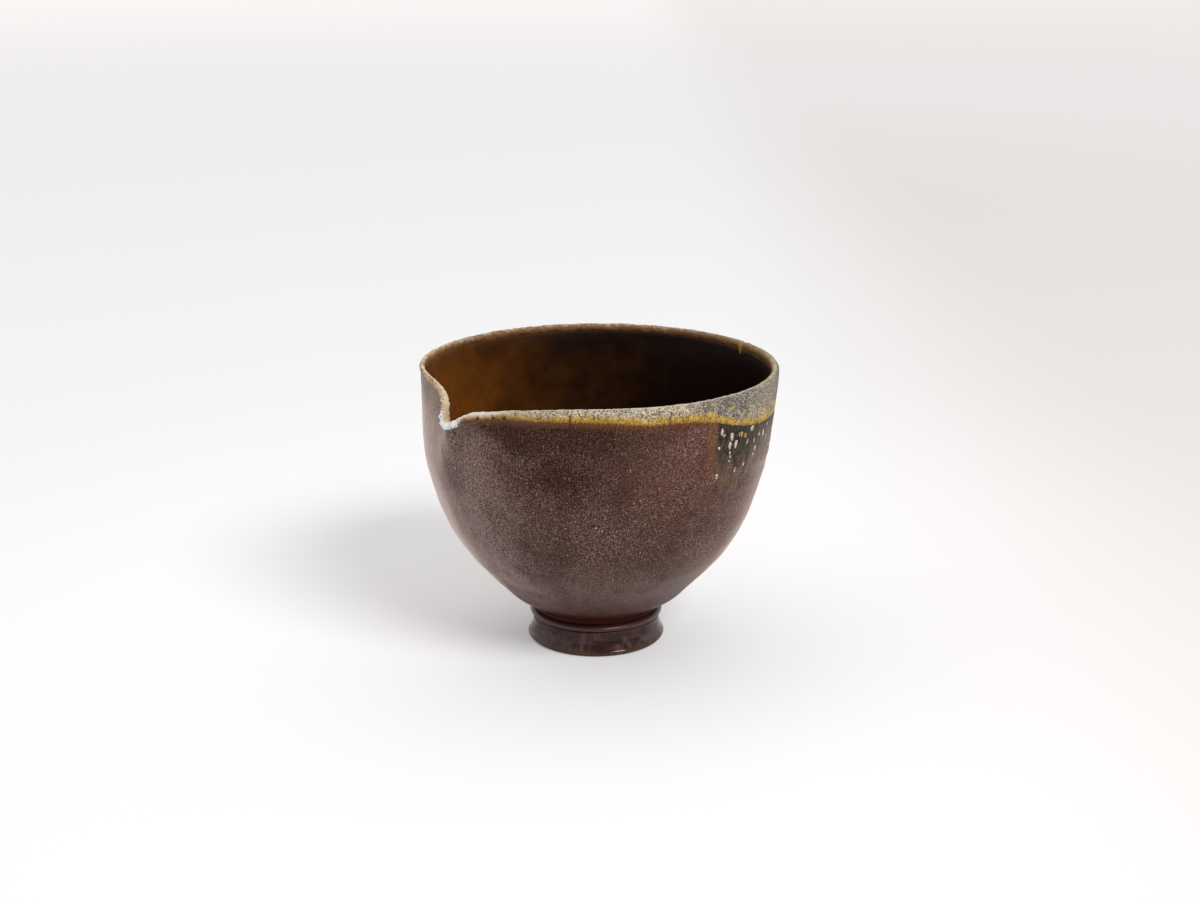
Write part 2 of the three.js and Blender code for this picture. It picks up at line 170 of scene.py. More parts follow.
class PitcherSizes(bpy.types.PropertyGroup):
    """Sizes of the thrown clay."""

    height: length("Height", "Crest of the rim above the table, away from the spout", 86.7)
    rim_radius: length("Rim radius", "Outside of the rim", 54.3)
    lean: length("Lean", "How far the upper bowl was drawn back from the foot's axis", 1.0)
    lean_from: length("Lean from", "Height where the lean starts", 58)
    lean_to: length("Lean to", "Height where the lean is full", 90)
    foot_radius: length("Foot radius", "Outside of the foot ring's flare", 21.2)
    foot_height: length("Foot height", "Seat of the bowl on the foot ring", 7.6)
    foot_flare: length("Foot flare", "How far the flare stands out from the neck", 1.5)
    foot_wall: length("Foot wall", "Thickness of the foot ring at the seat", 5.0)
    seat_chamfer: length("Seat chamfer", "How far the seat's edge is turned back from the neck", 0.7)
    rest_width: length("Rest width", "Flat width that the foot ring stands on", 3.9)
    bead_proud: length("Bead", "How far the turned bead stands out from the neck", 0.9)
    bead_rise: length("Bead rise", "Widest point of the bead above the seat", 1.1)
    recess_depth: length("Recess depth", "How far the recess lies inside the bead", 1.75)
    recess_rise: length("Recess rise", "Where the recess is deepest, above the seat", 2.4)
    waist_out: length("Waist out", "From the recess out to where the flank springs", 2.5)
    waist_rise: length("Waist rise", "Where the flank springs, above the seat", 4.7)
    rim_wall: length("Rim wall", "Clay wall at the rim", 1.8)
    low_wall: length("Low wall", "Clay wall at the waist", 5.6)
    floor_thickness: length("Floor", "Clay in the middle of the floor", 4.5)
    spout_depth: length("Spout depth", "How far the fingertip pushed the rim down", 5.3)
    spout_left: turned_by("Spout half, left", "Half width of the notch on its left", 6.2)
    spout_right: turned_by("Spout half, right", "Half width of the notch on its right", 6.6)
    sag_depth: length("Sag depth", "Wide dip of the rim round the spout", 4.4)
    sag_at: turned_by("Sag at", "Middle of the wide dip", 7.8)
    sag_half: turned_by("Sag half", "Half width of the wide dip", 21.8)
    pull: length("Pull", "How far the lip was drawn out", 2.9)
    pull_half: turned_by("Pull half", "Half width of the pull", 5.4)
    left_pinch: length("Left pinch", "How far the left side was pressed in", 2.8)
    left_pinch_at: turned_by("Left pinch at", "Middle of the left pinch", -13)
    left_pinch_half: turned_by("Left pinch half", "Half width of the left pinch", 18)
    right_pinch: length("Right pinch", "How far the right side was pressed in", 1.9)
    right_pinch_at: turned_by("Right pinch at", "Middle of the right pinch", 21.5)
    right_pinch_half: turned_by("Right pinch half", "Half width of the right pinch", 6.5)
    spout_reach: length("Spout reach", "How far down the wall the throat runs", 24)
    lip_swell: length("Lip swell", "How far the pouring lip is rolled out", 1.1)
    lip_swell_half: turned_by("Lip swell half", "Half width of the rolled lip", 8)
    arm_thinning: length("Arm thinning", "How much the rim on the spout's left was squeezed", 0.7)
    arm_at: turned_by("Arm at", "Middle of the squeezed rim", -36)
    arm_half: turned_by("Arm half", "Half width of the squeezed rim", 26)


class PitcherGlazes(bpy.types.PropertyGroup):
    """Where the kiln laid its ash, and how thick."""

    coat: length("Coat", "Thickness of the ash crust", 0.33)
    liner: length("Liner", "Thickness of the glaze inside", 0.32)
    liner_top: length("Liner top", "Upper edge of the glaze inside, below the crest", 2.6)
    crust_least: length("Crust, least", "Depth of the crust beside the spout", 1.5)
    crust_front: length("Crust, front", "Added to it round the front and back", 3.4)
    crust_side: length("Crust, side", "Added to it on the side that faced the fire", 7.5)
    crust_from: turned_by("Crust from", "Where the front depth starts", 14)
    crust_to: turned_by("Crust to", "Where it ends, round the back", 305)
    crust_side_from: turned_by("Crust side from", "Where the fire's side starts", 97.5)
    crust_side_to: turned_by("Crust side to", "Where the fire's side ends", 225)
    mustard: length("Mustard band", "Width of the yellow lower edge of the crust", 2.7)
    run_from: turned_by("Run from", "Edge of the dark run, on the front", 91.3)
    run_to: turned_by("Run to", "Edge of the dark run, on the back", 192)
    run_length: length("Run length", "How far the dark ash ran below the crust", 15.5)
    relief: length("Relief", "Height of the soft waves that the fingers left", 0.06)


class PitcherColours(bpy.types.PropertyGroup):
    """Colours of the clay and the glazes."""

    clay: colour("Clay", "Mauve-brown stoneware", 72, 47, 41)
    clay_dark: colour("Dark clay", "Browner parts of the stoneware", 54, 30, 22)
    # Partly painted reflection: this lilac bloom also stands in for the light that the bright sides and
    # the floor throw on the clay.
    clay_lilac_and_reflection: colour("Lilac clay", "Greyer bloom on the spout's left and low down", 136, 115, 111)
    clay_flash: colour("Flash", "Orange-red flash beside the dark run", 100, 54, 34)
    clay_scorch: colour("Scorch", "Dark red-brown under the yellow band", 42, 14, 4)
    speck: colour("Specks", "Fine pale specks of ash in the clay", 146, 126, 114)
    # Mostly painted sheen: this pale clay is laid where the limbs catch light, with some dusty bloom.
    clay_pale_and_sheen: colour("Clay, palest", "Dusty bloom on the spout's left", 154, 132, 126)
    rust: colour("Rust", "Red-brown just under the yellow band", 104, 60, 18)
    # Partly painted shade: this colour darkens the lower flank and the recess where shade falls.
    recess: colour("Recess", "Glaze pooled in the turned recess", 60, 27, 19)
    # Partly painted light: lighter than the foot and the recess, for the light that falls on the bead's
    # top.
    bead: colour("Bead", "Glaze over the turned bead", 68, 44, 40)
    foot: colour("Foot", "Glossy iron glaze on the foot ring", 28, 14, 12)
    foot_low: colour("Foot, low", "Olive-brown where the foot's glaze ran thin", 64, 46, 24)
    bare: colour("Bare clay", "Wiped clay that the pitcher stands on", 92, 72, 58)
    cream: colour("Cream", "Pale crystals of the crust", 208, 191, 163)
    tan: colour("Tan", "Where the crust thins over the lip", 158, 116, 80)
    white: colour("White", "Ash crystals on the pouring lip", 219, 220, 224)
    grey: colour("Grey", "Blue-grey crystals of the crust", 110, 108, 105)
    slate: colour("Slate", "Dark flecks in the crust", 46, 48, 56)
    mustard: colour("Mustard", "Yellow lower edge of the crust", 182, 150, 50)
    ochre: colour("Ochre", "Brown-yellow ash", 128, 88, 34)
    run: colour("Run", "Dark green-black ash", 26, 25, 20)
    olive: colour("Olive", "Where the dark ash thins", 78, 62, 46)
    # Partly painted light and shade: amber where the lamp lights the wall inside, umber on its shaded
    # side.
    amber: colour("Amber", "Glaze inside, on the spout's left", 113, 65, 21)
    umber: colour("Umber", "Dark glaze inside", 18, 5, 2)


class PitcherStage(bpy.types.PropertyGroup):
    """Camera, lamps and floor."""

    focal: FloatProperty(
        name="Focal length", description="In pixels of the photograph", default=1835, min=100
    )
    camera_turn: turned_by("Camera angle", "Camera's place round the pitcher, from the spout", 51.9)
    camera_tilt: turned_by("Camera tilt", "How far the camera looks down", 16.7)
    camera_distance: length("Camera distance", "From the foot's axis, level", 538)
    camera_height: length("Camera height", "Above the table", 221)
    camera_shift: length("Camera shift", "To its own right", 1.25)
    sky: FloatProperty(name="Sky", description="Light from behind and above", default=1.1, min=0)
    room: FloatProperty(
        name="Room", description="Share of the sky's light that the camera's side gives", default=0.3,
        min=0, subtype="FACTOR"
    )
    key: FloatProperty(
        name="Key lamp", description="Power of the large soft lamp", default=41, min=0, unit="POWER"
    )
    lift: FloatProperty(
        name="Lift", description="How far the floor's seen colour is lifted to white", default=0.18,
        min=0, max=1, subtype="FACTOR"
    )
    floor: colour("Floor", "Pale table", 242, 241, 242)


class PitcherMesh(bpy.types.PropertyGroup):
    """How finely the pieces are divided."""

    bowl_columns: IntProperty(name="Bowl columns", description="Round the bowl", default=540, min=24)
    crust_columns: IntProperty(
        name="Crust columns", description="Round the ash crust", default=1080, min=24
    )
    liner_columns: IntProperty(name="Liner columns", description="Round the liner", default=420, min=24)
    foot_columns: IntProperty(
        name="Foot columns", description="Round the foot ring", default=420, min=24
    )


def measured(group):
    """The group's values by name, lengths in millimetres and angles in degrees."""
    values = {}
    for key, prop in group.bl_rna.properties.items():
        if prop.type not in {"FLOAT", "INT"}:
            continue
        value = getattr(group, key)
        if prop.is_array:
            value = tuple(value)
        elif prop.type == "FLOAT" and prop.unit == "LENGTH":
            value *= 1000
        elif prop.type == "FLOAT" and prop.unit == "ROTATION":
            value = degrees(value)
        values[key] = value
    return SimpleNamespace(**values)


def bell(x):
    """1 at 0 and falling off on both sides: e to the power of minus x squared."""
    return np.exp(-np.square(x))


def ramp(x, low, high):
    """0 below low, 1 above high, and between them 3t^2 - 2t^3 of the share t of the way."""
    t = np.clip((x - low) / (high - low), 0, 1)
    return t * t * (3 - 2 * t)


def window(x, low, full, still, high):
    """Rises from 0 at low to 1 at full, and falls from 1 at still to 0 at high."""
    return ramp(x, low, full) * (1 - ramp(x, still, high))


def marks(angle, table):
    """The sum of bells at single angles, from a table of angle, width and strength."""
    return sum(strength * bell((angle - at) / width) for at, width, strength in table)


def lerp(a, b, share):
    """a plus a share of the way to b."""
    return a + (b - a) * share


def around(angle):
    """The same angle between -180 and 180."""
    return (angle + 180) % 360 - 180


def grain(points, size, seed, stretch=(1, 1, 1)):
    """Soft lumps about size across: the sum of sines of plane waves in random directions, each 1.4
    to 3 sizes long, with random phases, scaled so that it spreads by 1. Stretch is how many times
    longer the lumps are along each axis."""
    random = np.random.default_rng(seed)
    way = random.normal(size=(WAVES, 3))
    way /= np.linalg.norm(way, axis=1, keepdims=True)
    way *= 2 * pi / (size * random.uniform(1.4, 3, (WAVES, 1))) / np.array(stretch)
    phase = random.uniform(0, 2 * pi, WAVES)
    total = np.zeros(points.shape[:-1])
    for direction, start in zip(way, phase):
        total += np.sin(points @ direction + start)
    return total * np.sqrt(2 / WAVES)


def curve(start, control, end, count):
    """Points of the quadratic curve (1-t)^2 start + 2t(1-t) control + t^2 end, the first left out."""
    t = np.linspace(0, 1, count + 1)[1:, None]
    start, control, end = np.array(start), np.array(control), np.array(end)
    return (1 - t) ** 2 * start + 2 * t * (1 - t) * control + t * t * end


def outline_at(share):
    """The monotone cubic through OUTLINE: between two stations it is the cubic with their heights
    and slopes, where a slope is the harmonic mean of the chords on its two sides."""
    x, y = OUTLINE.T
    chord = np.diff(y) / np.diff(x)
    inner = 2 * chord[:-1] * chord[1:] / (chord[:-1] + chord[1:])
    slope = np.concatenate([chord[:1], inner, chord[-1:]])
    i = np.clip(np.searchsorted(x, share) - 1, 0, len(x) - 2)
    width = x[i + 1] - x[i]
    t = (share - x[i]) / width
    u = 1 - t
    return (
        y[i] * (1 + 2 * t) * u * u
        + y[i + 1] * t * t * (3 - 2 * t)
        + width * (slope[i] * t * u * u - slope[i + 1] * t * t * u)
    )


class Clay:
    """The thrown and pinched clay as functions of the angle and of the height thrown at."""

    def __init__(self, sizes):
        self.s = s = sizes
        self.neck = s.foot_radius - s.foot_flare
        self.seat_outer = self.neck - s.seat_chamfer
        self.seat_inner = self.seat_outer - s.foot_wall
        self.bead = (self.neck + s.bead_proud, s.foot_height + s.bead_rise)
        self.recess = (self.bead[0] - s.recess_depth, s.foot_height + s.recess_rise)
        self.waist = (self.recess[0] + s.waist_out, s.foot_height + s.waist_rise)
        self.ceiling = s.foot_height + TRIM_DEPTH
        self.lip = s.rim_wall / 2
        self.top = s.height - self.lip
        self.floor_height = self.ceiling + s.floor_thickness
        self.join = lerp(self.waist[1], s.height, FLOOR_JOIN)
        self.join_radius, self.join_top = (v.item() for v in self.inside(np.array(180.0), self.join))
        steepness = self.slope(self.join)
        self.floor_power = self.join_radius / steepness / (self.join_top - self.floor_height)

    def share(self, z):
        """Share of the height from the waist to the crest."""
        return (z - self.waist[1]) / (self.s.height - self.waist[1])

    def radius(self, z):
        """Radius of the round wall at a height."""
        return lerp(self.waist[0], self.s.rim_radius, outline_at(self.share(z)))

    def slope(self, z):
        """Growth of the radius with height."""
        return (self.radius(z + 0.05) - self.radius(z - 0.05)) / 0.1

    def dip(self, angle):
        """How far the rim went down: a narrow bell for the notch plus a wide one for the sag."""
        s, a = self.s, around(angle)
        half = np.where(a < 0, s.spout_left, s.spout_right)
        return s.spout_depth * bell(a / half) + s.sag_depth * bell((a - s.sag_at) / s.sag_half)

    def push(self, angle):
        """How far the rim went out: the pull's bell less the two pinches' bells."""
        s, a = self.s, around(angle)
        left = s.left_pinch * bell((a - s.left_pinch_at) / s.left_pinch_half)
        right = s.right_pinch * bell((a - s.right_pinch_at) / s.right_pinch_half)
        return s.pull * bell(a / s.pull_half) - left - right

    def worked(self, angle, radius, height, z):
        """A point of the wall after the spout, which acts in full at the crest and fades out one
        spout reach below it."""
        share = ramp(z, self.s.height - self.s.spout_reach, self.s.height)
        return radius + self.push(angle) * share, height - self.dip(angle) * share

    def outside(self, angle, z):
        """Radius and height of the outside, with the lip rolled out at its top."""
        s = self.s
        roll = s.lip_swell * bell(around(angle) / s.lip_swell_half)
        roll = roll * ramp(z, s.height - LIP_REACH, self.top)
        return self.worked(angle, self.radius(z) + roll, z, z)

    def inside(self, angle, z):
        """Radius and height of the inside: one wall along the normal from the outside, where the
        wall thins by a power of the height, and more at the squeezed rim."""
        s = self.s
        slope = self.slope(z)
        along = np.hypot(1, slope)
        wall = lerp(s.low_wall, s.rim_wall, 1 - (1 - self.share(z)) ** WALL_THINNING)
        squeezed = s.arm_thinning * bell((around(angle) - s.arm_at) / s.arm_half)
        wall = wall - squeezed * ramp(z, s.height - ARM_REACH, self.top)
        return self.worked(angle, self.radius(z) - wall / along, z + wall * slope / along, z)

    def crest(self, angle, turn):
        """Half an ellipse over the lip, from the outside at 0 degrees to the inside at 180."""
        outer, inner = self.outside(angle, self.top), self.inside(angle, self.top)
        across = (1 - np.cos(np.radians(turn))) / 2
        up = self.lip * np.sin(np.radians(turn))
        return lerp(outer[0], inner[0], across), lerp(outer[1], inner[1], across) + up

    def floor(self, share):
        """The floor rises from its middle as a power of the share of the radius."""
        rise = share ** self.floor_power
        return self.join_radius * share, lerp(self.floor_height, self.join_top, rise)

    def place(self, angle, radius, height, z):
        """Turns radius and height into a point, moved back by the lean."""
        s = self.s
        back = s.lean * ramp(z, s.lean_from, s.lean_to)
        turn = np.radians(angle)
        x, y, h = np.broadcast_arrays(radius * np.cos(turn) - back, radius * np.sin(turn), height)
        return np.stack([x, y, h], -1)

    def foot_profile(self):
        """Closed profile of the foot ring, radius and height, from the inner edge of its rest."""
        s = self.s
        outer = s.foot_radius - REST_ROUND
        inner = outer - s.rest_width
        low = lerp(FLARE_HEIGHT, s.foot_height, 0.3)
        flare = (s.foot_radius, FLARE_HEIGHT)
        bevel_height = s.foot_height - s.seat_chamfer
        line = np.linspace(0, 1, 9)[:, None]
        seat = np.linspace(0, 1, 7)[1:, None]
        bevel = np.array([[self.seat_outer, s.foot_height], [self.seat_inner, s.foot_height]])
        return np.concatenate([
            lerp(np.array([inner, 0]), np.array([outer, 0]), line),
            curve((outer, 0), (s.foot_radius, 0), flare, 10),
            curve(flare, (self.neck, low), (self.neck, bevel_height), 20),
            curve((self.neck, bevel_height), (self.neck, s.foot_height - 0.2), bevel[0], 4),
            lerp(bevel[0], bevel[1], seat),
            curve(bevel[1], (self.seat_inner, s.foot_height / 3), (inner - 0.5, 0.5), 14),
        ])


class Ash:
    """Where the ash lies on the clay, as functions of the angle and the fall below the crest."""

    def __init__(self, clay, glazes):
        self.clay, self.g = clay, glazes

    def between(self, angle, start, end, soft):
        """1 between two angles and 0 on the spout's side of them, with soft ends."""
        a = angle % 360
        return window(a, start - soft, start + soft, end - soft, end + soft)

    def crust(self, angle):
        """Depth of the crust's edge: the least, plus the front's share, plus the fire's side's."""
        g = self.g
        turn = np.radians(angle)
        wave = 0.22 * (np.sin(7 * turn) + np.sin(11 * turn + radians(40)))
        front = self.between(angle, g.crust_from, g.crust_to, CRUST_SOFT)
        side = self.between(angle, g.crust_side_from, g.crust_side_to, SIDE_SOFT)
        return g.crust_least + (g.crust_front + wave) * front + g.crust_side * side

    def brown(self, angle):
        """Width of the crust's brown lower part, by straight lines between stations."""
        return np.interp(around(angle), *PALE_ENDS.T)

    def fringe(self, angle):
        """Small teeth of the crust's edge, with two longer drips on the front."""
        circle = self.clay.place(angle, self.clay.s.rim_radius, 0, 0)
        teeth = 0.16 * grain(circle, 1.0, 11) + 0.14 * grain(circle, 2.6, 12)
        return teeth * self.between(angle, 8, 330, 8) + marks(angle, EDGE_DRIPS)

    def run(self, angle, below, points):
        """Share of the dark run, 0 to 1, with a sharp edge on the front and frayed ends."""
        g = self.g
        fray = grain(points, 1.0, 21, (1, 1, 4))
        blot = grain(points, 2.2, 22, (1, 1, 2))
        a = angle % 360
        soft = 1.9 + 2.0 * ramp(below, 3, 14)
        front = ramp(a + 0.8 * fray + 1.0 * blot, g.run_from - soft, g.run_from + soft)
        back = 1 - ramp(a + 0.8 * fray, g.run_to - 9, g.run_to)
        tongues = 1.2 * np.sin(np.radians(14 * a)) + 1.2 * fray + 1.5 * blot
        shorter = 3.5 * window(a, 101, 110, 130, 150)
        end = 1 - ramp(below + tongues + shorter, 5, g.run_length + 5)
        return front * back * end


def relief(clay, glazes, points):
    """How far the fingers' waves lift the surface: broad lumps plus level throwing rings, and the
    soft ridge that the pull left under the spout."""
    z = points[..., 2]
    fade = ramp(z, clay.waist[1], clay.waist[1] + 6)
    turned = np.degrees(np.arctan2(points[..., 1], points[..., 0]))
    pulled = 0.4 * bell((turned + 5) / 3.5) * window(z, 54, 66, 70, 77)
    broad = grain(points, 11, 1, (1, 1, 0.8))
    rings = grain(points, 2.1, 2, (14, 14, 1))
    return glazes.relief * fade * (broad + 0.45 * rings) + pulled


def normals(points, closed):
    """Unit normals of a lattice: the cross product of the way along its rows and the way across
    them. A closed lattice goes on from its last column to its first."""
    if closed:
        along = np.roll(points, -1, axis=1) - np.roll(points, 1, axis=1)
    else:
        along = np.gradient(points, axis=1)
    across = np.gradient(points, axis=0)
    normal = np.cross(along, across)
    return normal / np.maximum(np.linalg.norm(normal, axis=-1, keepdims=True), 1e-12)


def crowded(count):
    """Angles of the columns round the bowl, which crowd towards the spout as its sine asks."""
    part = np.arange(count) / count
    return 360 * part - np.degrees(CROWDING * np.sin(2 * pi * part))


def lattice(rows, columns, closed_rows, closed_columns):
    """Corner numbers of a lattice's faces: each joins (i, j), (i, j+1), (i+1, j+1) and (i+1, j)."""
    i = np.arange(rows if closed_rows else rows - 1)[:, None]
    j = np.arange(columns if closed_columns else columns - 1)[None, :]
    k, m = (i + 1) % rows, (j + 1) % columns
    corners = [i * columns + j, i * columns + m, k * columns + m, k * columns + j]
    return np.stack(np.broadcast_arrays(*corners), -1).reshape(-1, 4)


def capped(rows, columns):
    """Faces that close a round lattice's first and last rows with a pole each. The poles' points
    come after the lattice's, the first row's and then the last's."""
    j = np.arange(columns)
    m = (j + 1) % columns
    first, top = rows * columns, (rows - 1) * columns
    low = np.stack([np.full(columns, first), m, j], -1)
    high = np.stack([np.full(columns, first + 1), top + j, top + m], -1)
    return np.concatenate([low, high])


def new_mesh(name, points, squares, triangles, masks):
    """A mesh in metres from points in millimetres, its faces turned outwards. The faces point
    inwards if the sum of their corners' box products, six times the volume, is negative."""
    points = points.reshape(-1, 3) / 1000
    halves = [squares[:, [0, 1, 2]], squares[:, [0, 2, 3]], triangles.reshape(-1, 3)]
    a, b, c = (points[np.concatenate(halves)[:, n]] for n in range(3))
    if np.einsum("ij,ij->", a, np.cross(b, c)) < 0:
        squares, triangles = squares[:, ::-1], triangles[:, ::-1]
    mesh = bpy.data.meshes.new(name)
    mesh.vertices.add(len(points))
    mesh.vertices.foreach_set("co", points.ravel().astype(np.float32))
    corners = np.concatenate([squares.ravel(), triangles.ravel()]).astype(np.int32)
    mesh.loops.add(len(corners))
    mesh.loops.foreach_set("vertex_index", corners)
    starts = np.concatenate([
        np.arange(len(squares)) * 4, len(squares) * 4 + np.arange(len(triangles)) * 3
    ]).astype(np.int32)
    mesh.polygons.add(len(starts))
    mesh.polygons.foreach_set("loop_start", starts)
    mesh.polygons.foreach_set("use_smooth", np.ones(len(starts), bool))
    for key, values in masks.items():
        values = np.asarray(values, np.float32)
        if values.shape[-1] == 3 and values.size == 3 * len(points):
            full = np.ones((len(points), 4), np.float32)
            full[:, :3] = values.reshape(-1, 3)
            mesh.attributes.new(key, "FLOAT_COLOR", "POINT").data.foreach_set("color", full.ravel())
        else:
            mesh.attributes.new(key, "FLOAT", "POINT").data.foreach_set("value", values.ravel())
    mesh.update(calc_edges=True)
    if mesh.validate():
        raise RuntimeError(f"the mesh of {name} has faces that don't hold together")
    return mesh


NO_FACES = np.zeros((0, 3), int)


def round_mesh(name, points, poles, masks):
    """A closed mesh from a round lattice and the poles in the middle of its two ends."""
    full = {}
    for key, mask in masks.items():
        flat = mask.reshape(-1, *mask.shape[2:])
        full[key] = np.concatenate([flat, flat[:1], flat[-1:]])
    body = np.concatenate([points.reshape(-1, 3), np.array(poles)])
    rows, columns = points.shape[:2]
    return new_mesh(name, body, lattice(rows, columns, False, True), capped(rows, columns), full)


def take_away(blocks, name):
    """Removes what an earlier run left under this name."""
    old = blocks.get(name)
    if old is not None:
        blocks.remove(old)


def new_object(name, data):
    """Puts an object in the scene at the origin."""
    take_away(bpy.data.objects, name)
    item = bpy.data.objects.new(name, data)
    bpy.context.scene.collection.objects.link(item)
    return item


def add_piece(name, mesh, material, node):
    """Puts a piece in the scene, riding on the part's one body."""
    mesh.materials.append(material)
    piece = new_object(name, mesh)
    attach(piece, "root")
    if node:
        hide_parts(node)


def coat(name, points, thickness, lift, masks, closed_columns):
    """A closed skin: the lattice lifted by the clay's relief and its own thickness, and a back that
    lies as deep as a coat's root under the clay's surface, joined all round their edges."""
    out = normals(points, closed_columns)
    front = points + out * (lift + thickness)[..., None]
    back = points + out * (lift - ROOT)[..., None]
    rows, columns = points.shape[:2]
    if closed_columns:
        both = np.concatenate([front, back[::-1]])
        full = {k: np.concatenate([v, v[::-1]]) for k, v in masks.items()}
        return new_mesh(name, both, lattice(2 * rows, columns, True, True), NO_FACES, full)
    count = rows * columns
    number = np.arange(count).reshape(rows, columns)
    rim = np.concatenate([number[0, :-1], number[:-1, -1], number[-1, :0:-1], number[:0:-1, 0]])
    onward = np.roll(rim, -1)
    squares = lattice(rows, columns, False, False)
    edge = np.stack([rim, rim + count, onward + count, onward], -1)
    squares = np.concatenate([squares, squares[:, ::-1] + count, edge])
    full = {k: np.concatenate([v, v]) for k, v in masks.items()}
    return new_mesh(name, np.concatenate([front, back]), squares, NO_FACES, full)


class Value:
    """A number or colour that nodes work out. A sum, product or power of it adds a node."""

    def __init__(self, recipe, socket):
        self.recipe, self.socket = recipe, socket

    def __add__(self, other):
        return self.recipe.math("ADD", self, other)

    def __sub__(self, other):
        return self.recipe.math("SUBTRACT", self, other)

    def __rsub__(self, other):
        return self.recipe.math("SUBTRACT", other, self)

    def __mul__(self, other):
        return self.recipe.math("MULTIPLY", self, other)

    def __pow__(self, other):
        return self.recipe.math("POWER", self, other)

    __radd__, __rmul__ = __add__, __mul__


class Recipe:
    """The nodes of a material or of the sky, added through short calls. A size is the pattern's, in
    millimetres."""

    def __init__(self, name, kind="materials", place="Object"):
        blocks = getattr(bpy.data, kind)
        take_away(blocks, name)
        self.block = blocks.new(name)
        self.block.use_nodes = True
        self.tree = self.block.node_tree
        self.tree.nodes.clear()
        self.place = self.add("TexCoord", {}, place)

    def put(self, node, key, value):
        """Links a value to a node's input, or sets the input to a plain number or colour."""
        if isinstance(value, Value):
            self.tree.links.new(value.socket, node.inputs[key])
        else:
            node.inputs[key].default_value = value

    def add(self, kind, inputs, output=0, **settings):
        """Adds a node and gives back one of its outputs."""
        node = self.tree.nodes.new("ShaderNode" + kind)
        for key, value in settings.items():
            setattr(node, key, value)
        for key, value in inputs.items():
            self.put(node, key, value)
        return Value(self, node.outputs[output])

    def pattern(self, size, stretch, offset):
        """A texture's inputs: how fine it is, and coordinates squeezed along an axis so that it
        comes out stretched."""
        scale = [1 / value for value in stretch]
        settings = {"Vector": self.place, "Scale": scale, "Location": (offset, offset, offset)}
        return {"Vector": self.add("Mapping", settings), "Scale": 1000 / size}

    def noise(self, size, detail=2.0, rough=0.5, stretch=(1, 1, 1), offset=0.0):
        """Cloudy noise from 0 to 1."""
        kind = {"Detail": detail, "Roughness": rough}
        return self.add("TexNoise", self.pattern(size, stretch, offset) | kind, "Fac")

    def cells(self, size, offset):
        """Distance from the middle of the nearest cell, and a random number for each cell."""
        near = self.add("TexVoronoi", self.pattern(size, (1, 1, 1), offset), "Distance")
        colour = Value(self, near.socket.node.outputs["Color"])
        return near, self.add("SeparateColor", {"Color": colour})

    def read(self, name):
        """A number that the mesh carries."""
        return self.add("Attribute", {}, "Fac", attribute_name=name)

    def read_three(self, name):
        """Three numbers that the mesh carries as a colour."""
        colour = self.add("Attribute", {}, "Color", attribute_name=name)
        parts = self.add("SeparateColor", {"Color": colour}).socket.node
        return [Value(self, part) for part in parts.outputs]

    def math(self, operation, a, b):
        return self.add("Math", {0: a, 1: b}, operation=operation)

    def step(self, value, low, high):
        """0 at low, 1 at high, and smooth between them."""
        settings = {"Value": value, "From Min": low, "From Max": high}
        return self.add("MapRange", settings, interpolation_type="SMOOTHSTEP")

    def mix(self, share, a, b):
        """Colour a, with a share of the way to b."""
        return self.add("Mix", {0: share, 6: a, 7: b}, 2, data_type="RGBA")

    def over(self, base, *layers):
        """The base colour with other colours laid over it in turn, each with its share."""
        for share, colour in layers:
            base = self.mix(share, base, colour)
        return base

    def height(self):
        """Height above the table in millimetres."""
        return self.add("SeparateXYZ", {"Vector": self.place}, 2) * 1000

    def surface(self, kind, shader):
        """Shows a shader as the surface of the material or world, and gives that back."""
        self.put(self.tree.nodes.new("ShaderNodeOutput" + kind), "Surface", shader)
        return self.block

    def finish(self, base, rough, height, depth, specular, sheen=0, coat=0):
        """Ends a glaze or clay with its colour, roughness and bump, whose depth is in millimetres."""
        return self.surface("Material", self.add("BsdfPrincipled", {
            "Base Color": base,
            "Roughness": rough,
            "Normal": self.add("Bump", {"Height": height, "Distance": depth / 1000}),
            "Specular IOR Level": specular,
            "Sheen Weight": sheen,
            "Sheen Roughness": 0.35,
            "Sheen Tint": SHEEN_TINT,
            "Coat Weight": coat,
            "Coat Roughness": 0.22,
        }))


